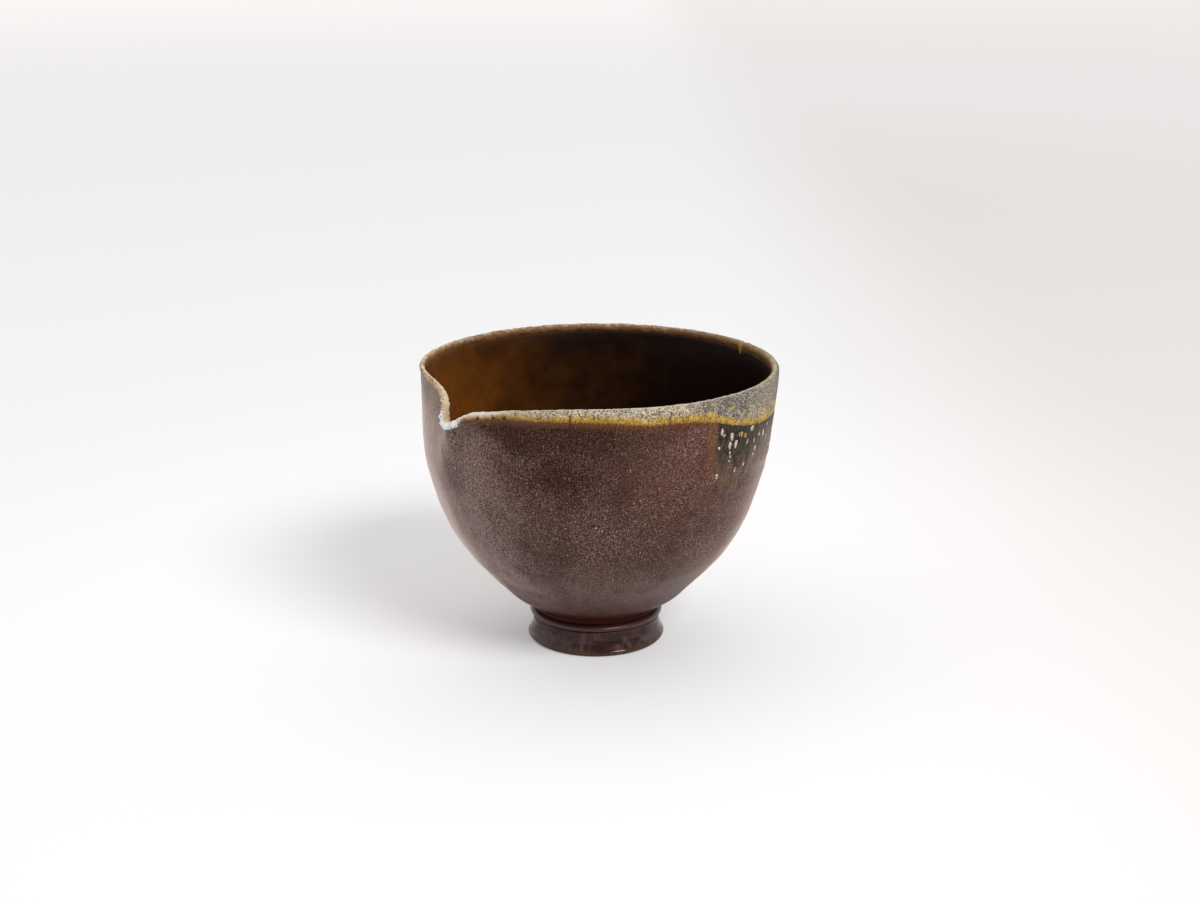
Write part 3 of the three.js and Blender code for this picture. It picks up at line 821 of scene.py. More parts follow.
def stoneware(r, c):
    """Colour, roughness and height of the speckled clay, from the mesh's masks: "clay" holds the
    scorch under the crust, the flash beside the run and the lilac bloom with painted reflection,
    "bloom" is how thick the specks lie, "pale" is painted sheen and highlight with some dusty bloom,
    and "below" is the distance under the crust's edge."""
    scorch, flash, lilac = r.read_three("clay")
    below = r.read("below")
    cloud = r.noise(14, 3, 0.55)
    mottle = r.noise(2.4, 4, 0.65, (1, 1, 1.4), 0.3)
    fine = r.noise(0.42, 2, 0.65, offset=0.7)
    fibre = r.noise(0.5, 2, 0.6, (1, 1, 4))
    haze = r.step(r.noise(5, 4, 0.6, (1, 1, 2), 0.1), 0.22, 0.6)
    streaks = r.step(r.noise(1.1, 3, 0.6, (1, 1, 6)), 0.32, 0.56)
    edge = scorch + (mottle - 0.5) * 0.5
    calm = 1 - scorch * 0.75
    specks = r.read("bloom") * calm * (r.step(cloud, 0.35, 0.6) * 0.5 + 0.65)

    def spots(size, offset, outer, core, rarity):
        """A round spot in each cell, as strong as the cell's number to the power of rarity."""
        near, number = r.cells(size, offset)
        return r.step(near, outer, core) * number ** rarity

    dust = spots(0.44, 0.2, 0.5, 0.2, 1.8) * specks
    grains = spots(0.8, 0.35, 0.32, 0.14, 9) * specks
    pits = spots(0.6, 0.9, 0.46, 0.22, 2) * calm
    embers = spots(0.55, 0.15, 0.44, 0.2, 3) * r.step(scorch, 0.1, 0.5) * r.step(below, 9, 3)
    iron, number = r.cells(3.4, 0.5)
    base = r.over(
        r.mix(r.step(cloud, 0.36, 0.66), c.clay_dark, c.clay),
        (r.step(mottle, 0.42, 0.7) * 0.45, c.clay_dark),
        # Lilac bloom, partly painted reflection on the spout's left and the low flank.
        (lilac * haze * (r.step(fine, 0.4, 0.6) * 0.78 + 0.22), c.clay_lilac_and_reflection),
        # Painted sheen and highlight: the pale mask lightens the limbs and the ridge under the spout.
        (r.read("pale") * (streaks * 0.4 + 0.45), c.clay_pale_and_sheen),
        (flash * r.step(mottle, 0.2, 0.6), c.clay_flash),
        (r.step(edge, 0.05, 0.55) * r.step(scorch, 0, 0.1), c.clay_scorch),
        (r.step(fine, 0.5, 0.62) * specks * 0.4, c.speck),
        (r.step(fine, 0.5, 0.36) * specks * 0.9, c.clay_scorch),
        (dust * 0.75, c.speck),
        (grains * 0.75, c.cream),
        (pits * 0.8, c.clay_scorch),
        (embers * 0.75, c.ochre),
        (r.step(flash, 0.5, 0.95) * r.step(mottle, 0.36, 0.56) * 0.22, c.ochre),
        (r.step(iron, 0.2, 0.1) * r.step(number, 0.7, 0.78) * 0.6, c.slate),
        (r.step(below + fibre * 4, 4.2, 1.8) * r.step(scorch, 0.02, 0.25) * 0.7, c.rust),
    )
    return base, 0.42 + fine * 0.16, fine * 0.7 + dust * 0.6


def dusty(r, clay):
    """Weight of the clay's soft sheen: most on the pale side, and none at the flank's bottom."""
    high = r.step(r.height(), clay.waist[1] + 4, clay.waist[1] + 18)
    bare = 1 - r.read_three("clay")[0] * 0.95
    return (r.read("pale") * 0.7 + 0.25) * high * bare


def clay_material(c, clay):
    """Speckled stoneware, glossier and darker where glaze pooled in the turned recess, with painted
    shade that darkens the lower flank towards it, and a bead painted lighter, partly as painted light.
    """
    r = Recipe("speckled_stoneware")
    base, rough, height = stoneware(r, c)
    z, waist, recess = r.height(), clay.waist[1], clay.recess[1]
    level = z + (r.noise(9, 2) - 0.5) * 1.6
    # Pooled glaze and painted shade: darker for 15 mm up the flank towards the recess, where shade
    # falls.
    soft = r.step(level, waist + 15.5, waist + 0.7) * 0.85
    pool_and_shade = r.math("MAXIMUM", soft, r.step(level, waist + 5.4, waist + 2.4))
    # Painted light, partly: the bead is painted in the lighter bead colour.
    bead = r.step(z, recess - 0.1, recess - 0.9)
    base = r.over(base, (pool_and_shade, c.recess), (bead, c.bead))
    rough, height = rough - pool_and_shade * 0.16, height * (1 - pool_and_shade * 0.9)
    return r.finish(base, rough, height, 0.06, 0.1, dusty(r, clay), bead * 0.45)


def foot_material(c):
    """Glossy iron glaze, thin and olive at the bottom, with bare clay where the foot stands, and
    mauve-grey brush patches that are partly painted sheen.
    """
    r = Recipe("foot_iron_glaze")
    z = r.height()
    mottle = r.noise(3, 4, 0.6, (1, 1, 0.6))
    streak = r.noise(1.2, 2, 0.5, (5, 5, 1))
    brush_and_sheen = r.noise(1.6, 3, 0.6, (1, 1, 7), 0.3)
    patch = r.step(r.noise(7, 2, 0.5, (1, 1, 1), 0.6), 0.42, 0.6)
    worn = r.step(z + mottle * 0.5, 0.6, 0.35)
    base = r.over(
        r.mix(r.step(mottle, 0.35, 0.7), c.foot, c.recess),
        (r.step(streak, 0.5, 0.75) * 0.25, c.clay),
        # Brush marks with painted sheen: mauve-grey patches where the glaze catches reflected light.
        (r.step(brush_and_sheen, 0.36, 0.66) * patch * 0.2, c.clay_lilac_and_reflection),
        (r.step(z + (mottle - 0.5) * 5, 2.4, 0.8) * (patch * 0.5 + 0.4), c.foot_low),
        (worn, c.bare),
    )
    rough = 0.03 + mottle * 0.1 + r.step(z, 6, 6.8) * 0.4 + worn * 0.4
    return r.finish(base, rough, streak * 0.4 + mottle * 0.5 + brush_and_sheen * 0.3, 0.03, 0.3)


def under_lip(r, c, level):
    """Colour of the glaze inside, with its two noises: amber on the spout's side by the "amber"
    mask, umber elsewhere, which is partly painted light and painted shade, and browner near the lip,
    more so by the "warm" mask."""
    cloud = r.noise(13, 3, 0.6)
    mottle = r.noise(3, 3, 0.6, (1, 1, 1), 0.4)
    near = r.step(level + mottle * 1.5, -2.6, -0.8)
    base = r.over(
        r.mix(r.step(r.read("amber") + (cloud - 0.5) * 0.6, 0, 1), c.umber, c.amber),
        (r.step(mottle, 0.45, 0.75) * 0.25, c.umber),
        ((0.08 + r.read("warm") * 0.3) * near, c.ochre),
    )
    return base, mottle, cloud


def liner_material(c):
    """Glossy glaze inside, browner just under the lip."""
    r = Recipe("liner_amber_glaze")
    fall = r.read("fall")
    base, mottle, cloud = under_lip(r, c, fall * -1)
    rough = 0.26 + mottle * 0.16 + r.step(fall, 6, 2.5) * 0.3
    return r.finish(base, rough, r.noise(1.1, 2) + cloud * 2, 0.02, 0.12)


def crust_material(c, g):
    """Ash crust in bands that follow the mesh: "below" is the distance under its edge, "fall" the
    depth below the crest, negative inside, "glaze" holds the tan, white and dark masks, and "drip"
    the amber drip inside."""
    r = Recipe("ash_crust")
    masks = ("below", "fall", "broken", "warm", "frost", "arm")
    below, fall, broken, warm, frost, arm = (r.read(name) for name in masks)
    thin, white, notch = r.read_three("glaze")
    fibre = r.noise(0.45, 2, 0.6, (1, 1, 4)) - 0.5
    crystal = r.noise(0.44, 4, 0.78, offset=0.4)
    patch = r.noise(2.2, 3, 0.65, offset=0.8)
    fray, cloud = crystal - 0.5, patch - 0.5
    level = below + fibre * 3.4
    grains = crystal - broken * 0.045
    few = 1 - broken * 0.4
    grey = r.over(
        r.mix(r.step(grains, 0.41, 0.49), c.slate, c.grey),
        (r.step(grains, 0.49, 0.55) * few, c.cream),
        (r.step(patch, 0.46, 0.62) * r.step(below, -7.5, -5) * few * 0.35, c.cream),
        (r.step(patch, 0.47, 0.36) * 0.35, c.ochre),
    )
    weave = crystal + fibre * 0.8
    yellow = r.over(
        r.mix(r.step(weave, 0.4, 0.54), c.ochre, c.mustard),
        (r.step(weave, 0.42, 0.32) * 0.7, c.olive),
        (r.step(weave, 0.56, 0.7) * 0.45, c.cream),
        (r.step(patch, 0.46, 0.34) * 0.6, c.olive),
        (r.step(patch, 0.54, 0.66) * 0.25, c.cream),
    )
    crystals = r.mix(r.step(crystal, 0.38, 0.5), c.slate, c.cream)
    tan = r.over(
        r.mix(r.step(patch, 0.4, 0.62), c.tan, c.cream),
        (arm * 0.45, c.cream),
        (r.step(crystal, 0.5, 0.36) * 0.6, c.ochre),
        (r.step(fall, 0.5, 1.6) * frost * 0.75, c.ochre),
        (r.step(fall + cloud * 1.8, 1.3, 0.4) * frost, crystals),
    )
    fleck = r.over(
        r.mix(r.step(crystal, 0.4, 0.46), c.clay_dark, c.ochre),
        (r.step(crystal, 0.46, 0.56) * 0.75, c.cream),
    )
    band = level + cloud * broken * 9 - r.read("narrower")
    nugget = r.step(patch + warm * 0.12, 0.6, 0.68) * r.step(below, -9.5, -5) * broken
    inner = fall + cloud * 2 + arm
    # Painted highlight: a cream line along the crest, where the lip catches light.
    ridge = r.step(fall + fray * 1.2, 0.3, 0) * r.step(inner, -0.6, -0.1)
    salt = r.step(white + fray * 1.6, 0.38, 0.56) * r.step(white, 0, 0.1) * r.step(fall, -0.1, 0.6)
    near, number = r.cells(0.8, 0.6)
    dots = r.step(near, 0.4, 0.24) * r.step(number + white * 0.22, 0.72, 0.8) * r.step(fall, 0, 0.3)
    rim = r.step(fall + fray * 1.6, 0.75, 0.35) * r.step(inner, -1.2, -0.7) * thin * frost
    base = r.over(
        r.mix(r.step(band, -g.mustard - 0.5, -g.mustard + 0.4), grey, yellow),
        (nugget, c.mustard),
        (thin, tan),
        (r.step(level, -1.3, 0) * 0.8, c.ochre),
        (r.step(level, -0.5, 0.2) * 0.85, c.clay_scorch),
        (r.step(level, -0.1, 0.5), stoneware(r, c)[0]),
        (r.step(level, 1.4, 0.2) * r.step(level, -0.7, 0) * 0.3, c.rust),
        # Painted highlight along the crest.
        (ridge * 0.6, r.mix(warm * 0.7, c.cream, c.mustard)),
        (salt, c.white),
        (dots * 0.9, c.slate),
        (notch, c.run),
        (r.step(inner, -0.1, -0.8), r.mix(warm * 0.6, c.tan, c.mustard)),
        (r.step(inner, -0.5, -1.5) * 0.6, c.ochre),
        (rim * 0.85, r.mix(0.5, c.cream, c.white)),
        (r.step(inner, -0.8, -2.2), under_lip(r, c, fall)[0]),
        (r.read("stain"), fleck),
        (r.read("far") * 0.36, c.clay_dark),
        (r.read("drip") * r.step(crystal, 0.3, 0.5), r.mix(0.4, c.mustard, c.ochre)),
    )
    height = (crystal + fibre * 0.5) * (r.step(level, 0.7, -0.2) * 0.7 + 0.3)
    return r.finish(base, 0.4 + crystal * 0.25, height, 0.12, 0.18)


def run_material(c, clay):
    """Dark melted ash that thins to olive and then to the clay, by the "run" mask."""
    r = Recipe("ash_run")
    base, _, height = stoneware(r, c)
    share = r.read("run")
    mottle = r.noise(1.9, 4, 0.7, (1, 1, 1.4))
    crystal = r.noise(0.5, 2, 0.6, offset=0.2)
    thinner = r.step(r.read("below"), 1.5, 9) * 0.75 + 0.25
    dark = r.over(
        r.mix(r.step(mottle, 0.44, 0.62) * thinner, c.run, c.olive),
        (r.step(crystal, 0.54, 0.72) * 0.35, c.tan),
        (r.step(share, 0.95, 0.45) * 0.7, c.olive),
        (r.step(share, 0.6, 0.15) * 0.5, c.ochre),
    )
    held = r.step(share * (mottle * 1.6 + 0.35), 0.03, 0.8)
    # Painted sheen: the pale mask also lightens the run near the right limb.
    base = r.over(base, (held, dark), (r.read("pale") * held * 0.8, c.clay_pale_and_sheen))
    sheen = dusty(r, clay) * (1 - held * 0.85)
    return r.finish(base, 0.34 + mottle * 0.16, height + mottle * 0.8, 0.08, 0.15, sheen)


def drop_material(c):
    """Raised drops: bone white, ochre or tan by the mesh's "tone"."""
    r = Recipe("ash_drops")
    tone = r.read("tone")
    crystal = r.noise(0.5, 2, 0.6)
    base = r.over(
        r.mix(r.step(crystal, 0.38, 0.66), c.speck, r.mix(0.35, c.cream, c.white)),
        (r.step(tone, 0.2, 0.8), r.mix(r.step(crystal, 0.35, 0.6), c.ochre, c.mustard)),
        (r.step(tone, 1.2, 1.8), r.mix(r.step(crystal, 0.4, 0.6), c.ochre, c.cream)),
        (r.step(r.read("edge"), 0.75, 1) * 0.7, c.run),
    )
    return r.finish(base, 0.35 + crystal * 0.15, crystal, 0.04, 0.5)


def values():
    """All of the scene's settings, measured."""
    scene = bpy.context.scene
    sizes, glazes = measured(scene.pitcher_sizes), measured(scene.pitcher_glazes)
    clay = Clay(sizes)
    return SimpleNamespace(
        sizes=sizes, glazes=glazes, clay=clay, ash=Ash(clay, glazes),
        colours=measured(scene.pitcher_colours), mesh=measured(scene.pitcher_mesh),
    )


def even_heights(clay, count):
    """Heights from the waist to the lip that are an even way apart along the wall."""
    z = np.linspace(clay.waist[1], clay.top, 2000)
    r = clay.radius(z)
    way = np.concatenate([[0], np.cumsum(np.hypot(np.diff(z), np.diff(r)))])
    return np.interp(np.linspace(0, way[-1], count), way, z)


def clay_masks(v, angle, fall, points):
    """Masks of the clay's colours: scorch fades out below the crust, flash lies beside the run,
    lilac covers the spout's left and the low flank, partly as painted reflection, and the specks thin
    out there. Pale is painted sheen on both limbs and a painted highlight on the ridge under the spout,
    with some dusty bloom."""
    a = around(angle)
    below = fall - v.ash.crust(angle) + v.ash.brown(angle)
    wander = grain(points, 7, 31)
    front = window(angle % 360, 6, 19, 278, 320)
    strength = lerp(1.0, 0.16, ramp(a, 47, 63))
    reach = np.interp(a, *SCORCH_REACH.T)
    patch = 0.62 * bell((a - 42) / 15) * bell((fall - 19.5) / 8)
    scorch = front * strength * bell(np.maximum(below - 1.0 + 0.8 * wander, 0) / reach)
    flash = (
        0.45 * bell((a - 80 + 2 * wander) / 15) * bell((fall - 14) / 20)
        + 0.6 * bell((a - 89.5 + 0.4 * wander) / 2.4) * bell((fall - 13) / 11)
        + 0.55 * bell((a - 114) / 18) * window(fall, 22, 38, 56, 70)
    )
    # The low flank is painted lighter lilac, partly as painted reflection of the floor, and has fewer
    # specks.
    low = 0.75 * ramp(fall, 44, 66)
    left = 1 - ramp(a + 3 * wander, 8, 36)
    lilac = np.clip(0.9 * left * ramp(a, -140, -60) + 0.75 * low + 0.15 * ramp(a, 95, 130), 0, 1)
    bloom = np.clip(1 - 0.9 * low - 0.15 * left, 0.15, 1)
    bloom = bloom * (1 - 0.4 * bell((a - 66) / 16) * bell((fall - 19) / 8))
    side = (1 - ramp(a + 1.5 * wander, -13, 2)) * ramp(a, -150, -70)
    # Painted sheen on the left and right limbs, and a painted highlight on the ridge under the spout.
    pale = np.maximum.reduce([
        side * lerp(0.3, 1.1, ramp(fall, 3, 14)),
        0.6 * bell((a + 5) / 3.2) * bell((fall - 15) / 8),
        0.28 * window(a, 106, 120, 130, 155) * ramp(fall, 9, 20),
        0.25 * window(a, -20, -8, 5, 25) * window(fall, 20, 34, 50, 66),
    ])
    clay = np.stack([np.maximum(scorch, patch), flash, lilac], -1)
    return {"clay": clay, "bloom": bloom, "pale": pale, "below": below}


def amber_and_painted_light_share(a):
    """How amber the glaze inside is at an angle: it rises towards the spout from its left. This is
    partly painted light on the inner wall that faces the lamp; the shaded side is left dark umber.
    """
    left = lerp(0.25, 0.92, ramp(a, -118, -42)) * ramp(a, -170, -95)
    return left * (1 - 0.7 * ramp(a, 0, 60)) * (1 - ramp(a, 120, 179))


def warm_share(a):
    """How yellow the crust is at an angle: in two places on the side that faced the fire."""
    return np.clip(bell(around(a - 165) / 20) + 0.9 * bell(around(a - 119) / 15), 0, 1)


class PITCHER_OT_bowl(bpy.types.Operator):
    """Build the thrown bowl, from its trimmed underside over the lip to the floor"""

    bl_idname = "pitcher.bowl"
    bl_label = "Bowl"

    def execute(self, context):
        v = values()
        clay, s = v.clay, v.sizes
        ceiling, seat, bead, recess, waist = (
            clay.ceiling, s.foot_height, clay.bead, clay.recess, clay.waist
        )
        angle = crowded(v.mesh.bowl_columns)[None, :]
        corner = clay.seat_inner - 0.5
        under = np.concatenate([
            [[NIPPLE_RADIUS, ceiling], [2 * NIPPLE_RADIUS, ceiling], [corner, ceiling]],
            curve((corner, ceiling), (clay.seat_inner, ceiling), (clay.seat_inner, seat), 3),
            [[clay.seat_outer, seat]],
            curve((clay.seat_outer, seat), (bead[0], seat), bead, 9),
            curve(bead, (bead[0], lerp(bead[1], recess[1], 0.6)), recess, 9),
            curve(recess, (recess[0], lerp(recess[1], waist[1], 0.85)), waist, 10)[:-1],
        ])
        turned = clay.place(angle, under[:, :1], under[:, 1:], 0)
        z = even_heights(clay, 108)[:, None]
        wall = clay.place(angle, *clay.outside(angle, z), z)
        turn = np.array([40, 90, 140])[:, None]
        over = clay.place(angle, *clay.crest(angle, turn), clay.top)
        low = np.linspace(clay.top, clay.join, 30)[:, None]
        inner = clay.place(angle, *clay.inside(angle, low), low)
        share = np.array([0.85, 0.68, 0.5, 0.32, 0.15])[:, None]
        bottom = clay.place(angle, *clay.floor(share), 0)
        points = np.concatenate([turned, wall, over, inner, bottom])
        fall = np.concatenate([
            s.height - under[:, 1:], s.height - z, 0 * turn, low - s.height, 0 * share - s.height
        ])
        angles, fall = np.broadcast_arrays(angle, fall)
        masks = clay_masks(v, angles, fall, points)
        lift = relief(clay, v.glazes, points)
        lift[len(under) + len(z):] = 0
        points = points + normals(points, True) * lift[..., None]
        poles = [[0, 0, ceiling - NIPPLE_HEIGHT], [0, 0, clay.floor_height]]
        mesh = round_mesh("bowl_clay", points, poles, masks)
        add_piece("bowl_clay", mesh, clay_material(v.colours, clay), "bowl")
        return {"FINISHED"}


class PITCHER_OT_foot(bpy.types.Operator):
    """Build the turned foot ring"""

    bl_idname = "pitcher.foot"
    bl_label = "Foot ring"

    def execute(self, context):
        v = values()
        angle = np.linspace(0, 360, v.mesh.foot_columns, endpoint=False)[None, :]
        profile = v.clay.foot_profile()
        points = v.clay.place(angle, profile[:, :1], profile[:, 1:], 0)
        free = window(points[..., 2], 0.15, 1.2, 5.2, 6.4)
        lift = 0.06 * free * (grain(points, 5, 41) + 0.5 * grain(points, 0.9, 42, (12, 12, 1)))
        loop = np.concatenate([points[-1:], points, points[:1]])
        points = points + normals(loop, True)[1:-1] * lift[..., None]
        faces = lattice(*points.shape[:2], True, True)
        mesh = new_mesh("foot_ring_turned", points, faces, NO_FACES, {})
        add_piece("foot_ring_turned", mesh, foot_material(v.colours), "foot_ring")
        return {"FINISHED"}


class PITCHER_OT_liner(bpy.types.Operator):
    """Build the glossy glaze inside, from under the lip to the middle of the floor"""

    bl_idname = "pitcher.liner"
    bl_label = "Liner glaze"

    def execute(self, context):
        v = values()
        clay, s, g = v.clay, v.sizes, v.glazes
        angle = crowded(v.mesh.liner_columns)[None, :]
        z = np.linspace(s.height - g.liner_top + 0.7, clay.join, 84)[:, None]
        wall = clay.place(angle, *clay.inside(angle, z), z)
        share = np.linspace(1, 0, 32)[1:-1, None]
        points = np.concatenate([wall, clay.place(angle, *clay.floor(share), 0)])
        fall = np.concatenate([s.height - z, 0 * share + s.height])
        a, fall = np.broadcast_arrays(around(angle), fall)
        waves = 0.03 * grain(points, 9, 51) + 0.006 * grain(points, 2.4, 52, (14, 14, 1))
        thick = ramp(fall, 2.0, 9.0) * (g.liner - ROOT + waves) + 0.12 * ramp(fall, 1.3, 3.0) - 0.03
        thick = thick + 0.15 * ramp(fall, 60, 80)
        out = normals(points, True)
        both = np.concatenate([(points - out * ROOT)[::-1], points + out * thick[..., None]])
        poles = [[0, 0, clay.floor_height - ROOT], [0, 0, clay.floor_height + 0.47]]
        # Painted shade: the amber fades deeper in the bowl and just under the rim.
        dim = (1 - 0.45 * ramp(fall, 30, 70)) * lerp(0.7, 1, ramp(fall, 3, 12))
        masks = {"amber": amber_and_painted_light_share(a) * dim, "fall": fall, "warm": warm_share(a)}
        masks = {key: np.concatenate([mask[::-1], mask]) for key, mask in masks.items()}
        mesh = round_mesh("liner_coat", both, poles, masks)
        add_piece("liner_coat", mesh, liner_material(v.colours), "liner_glaze")
        return {"FINISHED"}


class PITCHER_OT_crust(bpy.types.Operator):
    """Build the pale ash crust over the lip"""

    bl_idname = "pitcher.crust"
    bl_label = "Ash crust"

    def execute(self, context):
        v = values()
        clay, s, g, ash = v.clay, v.sizes, v.glazes, v.ash
        angle = crowded(v.mesh.crust_columns)[None, :]
        depth = ash.crust(angle) + ash.fringe(angle)
        z = lerp(s.height - depth, clay.top, np.linspace(0, 1, 26)[:, None] ** 1.25)
        outer = clay.place(angle, *clay.outside(angle, z), z)
        turn = np.linspace(0, 180, 12)[1:-1, None]
        over = clay.place(angle, *clay.crest(angle, turn), clay.top)
        teeth = 0.25 * grain(clay.place(angle, s.rim_radius, 0, 0), 2.2, 13)
        drip = marks(around(angle), INNER_DRIPS)
        end = s.height - g.liner_top + 0.25 + teeth - 1.4 * drip
        low = lerp(clay.top, end, np.linspace(0, 1, 9)[:, None])
        inner = clay.place(angle, *clay.inside(angle, low), low)
        points = np.concatenate([outer, over, inner])
        arc = clay.lip * (1 - turn / 90) * np.ones_like(angle)
        fall = np.concatenate([s.height - z, arc, low - s.height])
        rise = np.concatenate([z - z[:1], np.full(arc.shape, 9.0), low - low[-1:]])
        wide, a = (np.broadcast_to(x, fall.shape) for x in (angle, around(angle)))
        below = fall - ash.crust(angle) + ash.brown(angle)
        lump = grain(points, 0.55, 61) * 0.03 + grain(points, 1.2, 62) * 0.045
        body = g.coat * lerp(0.4, 1, ramp(fall, -1.2, 0.4)) + 0.3 * drip * ramp(-fall, 0, 1) + lump
        body = body * lerp(1, 0.4, ramp(below, -0.4, 0.5))
        thick = body * np.where(fall > 0, ramp(rise, -0.25, 1.3), ramp(rise, -0.3, 1.7))
        spout = bell((a + 1) / 9) * bell((fall - 0.6) / 2.6)
        thick = thick + spout * (0.2 + 0.15 * grain(points, 0.8, 63)) * ramp(rise, 0, 1.0)
        notch = marks(a, NOTCHES) * ramp(fall, 0.6, 1.4)
        for at, dot_depth in DOTS:
            notch = notch + 1.3 * bell(np.hypot((a - at) / 0.5, (fall - dot_depth) / 0.42))
        thin = np.maximum(
            1 - ash.between(wide, 19, 318, 8),
            0.9 * ash.between(wide, 205, 340, 25) * ramp(fall, 3.0, 0.8),
        )
        masks = clay_masks(v, wide, fall, points) | {
            "below": below,
            "fall": fall,
            "broken": ash.between(wide, 83, 290, 8) * (1 - 0.6 * bell((a - 113) / 13)),
            "amber": amber_and_painted_light_share(a),
            "warm": warm_share(a),
            "frost": ramp(a, -2, 5),
            "arm": bell((a + 7) / 7),
            "stain": 0.85 * bell((a + 2.4) / 2.8) * ramp(-fall, -0.4, 0.0),
            "narrower": np.interp(a, *NARROWER.T) * (a > 0),
            "far": np.maximum(ramp(-a, 45, 80), ramp(a, 140, 160)) * ramp(fall, 3, 1),
            "drip": drip * ramp(-fall, 0.2, 0.9),
            "glaze": np.stack([thin, np.clip(1.4 * bell((a - 0.4) / 4.7), 0, 1), notch], -1),
        }
        lift = relief(clay, g, points) * ramp(fall, 0, clay.lip)
        mesh = coat("rim_crust", points, thick - 0.2 * notch, lift, masks, True)
        add_piece("rim_crust", mesh, crust_material(v.colours, g), "rim_ash_glaze")
        return {"FINISHED"}


class PITCHER_OT_run(bpy.types.Operator):
    """Build the dark ash that ran below the crust"""

    bl_idname = "pitcher.run"
    bl_label = "Ash run"

    def execute(self, context):
        v = values()
        clay, g = v.clay, v.glazes
        angle = np.linspace(g.run_from - 4, g.run_to + 4, 420)[None, :]
        below = np.linspace(g.run_length + 5, -0.7, 76)[:, None]
        fall = v.ash.crust(angle) + below
        z = v.sizes.height - fall
        points = clay.place(angle, *clay.outside(angle, z), z)
        wide, below = np.broadcast_arrays(angle, below)
        share = v.ash.run(wide, below, points)
        body = 0.2 + 0.05 * grain(points, 1.2, 71, (1, 1, 2.5)) + 0.03 * grain(points, 0.5, 72)
        top = 1 - ramp(below, 0.4, -0.6)
        thick = top * (0.05 * ramp(share, 0, 0.06) + ramp(share, 0, 0.5) * body) - 0.04
        masks = clay_masks(v, wide, fall, points)
        masks["run"] = v.ash.run(wide, masks["below"], points)
        mesh = coat("ash_run_coat", points, thick, relief(clay, g, points), masks, False)
        add_piece("ash_run_coat", mesh, run_material(v.colours, clay), "ash_run_glaze")
        return {"FINISHED"}


class PITCHER_OT_drops(bpy.types.Operator):
    """Build the drops of ash that stand out of the run"""

    bl_idname = "pitcher.drops"
    bl_label = "Ash drops"

    def execute(self, context):
        v = values()
        clay = v.clay
        random = np.random.default_rng(81)
        angles = random.uniform(*MORE_DROPS_SIDE, MORE_DROPS)
        falls = v.ash.crust(angles) + random.uniform(0.8, 12, MORE_DROPS)
        size = random.uniform(0.2, 0.5, MORE_DROPS)
        more = np.stack([
            angles, falls, size, size * random.uniform(1.1, 2.8, MORE_DROPS), size * 0.6,
            random.choice([0, 0, 0.4], MORE_DROPS), random.choice([0, 0, 0, 1, 2], MORE_DROPS),
        ], -1)
        drops = np.concatenate([DROPS, more])
        drops[:, 2:4] *= DROP_GROWTH
        angle, z = drops[:, 0], v.sizes.height - drops[:, 1]
        half_width, half_length, height, dent = (drops[:, n, None, None] for n in (2, 3, 4, 5))

        def spot(shift_angle, shift_z):
            turned, high = angle + shift_angle, z + shift_z
            return clay.place(turned, *clay.outside(turned, high), high)

        centre = spot(0, 0)
        side = spot(0.3, 0) - spot(-0.3, 0)
        side /= np.linalg.norm(side, axis=-1, keepdims=True)
        up = spot(0, 0.3) - spot(0, -0.3)
        up /= np.linalg.norm(up, axis=-1, keepdims=True)
        out = np.cross(side, up)
        ring = np.linspace(0, 1, 7)[1:][None, :, None]
        turn = np.linspace(0, 2 * pi, 18, endpoint=False)[None, None, :]
        wobble = 1 + 0.12 * np.sin(2 * turn + angle[:, None, None])
        wobble = ring * (wobble + 0.08 * np.sin(3 * turn + 2 * z[:, None, None]))
        sideways = half_width * wobble * np.cos(turn)
        # A drop hangs: its lower end is fuller than its upper end.
        upwards = half_length * wobble * np.sin(turn) * (1 - 0.18 * np.sin(turn))
        dome = height * np.sqrt(np.clip(1 - ring ** 2, 0, 1)) * (1 - dent * bell(ring / 0.45))
        dome = dome + DROP_LIFT
        caps = (
            centre[:, None, None]
            + side[:, None, None] * sideways[..., None]
            + up[:, None, None] * upwards[..., None]
            + out[:, None, None] * dome[..., None]
        )
        top = centre + out * (drops[:, 4] * (1 - drops[:, 5]) + DROP_LIFT)[:, None]
        foot = centre - out * DROP_ROOT
        count, rings, turns = caps.shape[:3]
        each = rings * turns + 2
        points = np.concatenate([caps.reshape(count, -1, 3), top[:, None], foot[:, None]], 1)
        start = (np.arange(count) * each)[:, None, None]
        squares = (lattice(rings, turns, False, True)[None] + start).reshape(-1, 4)
        triangles = (capped(rings, turns)[None] + start).reshape(-1, 3)
        edge = np.concatenate([np.repeat(ring.ravel(), turns), [0, 1]])
        masks = {"tone": np.repeat(drops[:, 6], each), "edge": np.tile(edge, count)}
        mesh = new_mesh("ash_drops", points, squares, triangles, masks)
        add_piece("ash_drops", mesh, drop_material(v.colours), "")
        return {"FINISHED"}


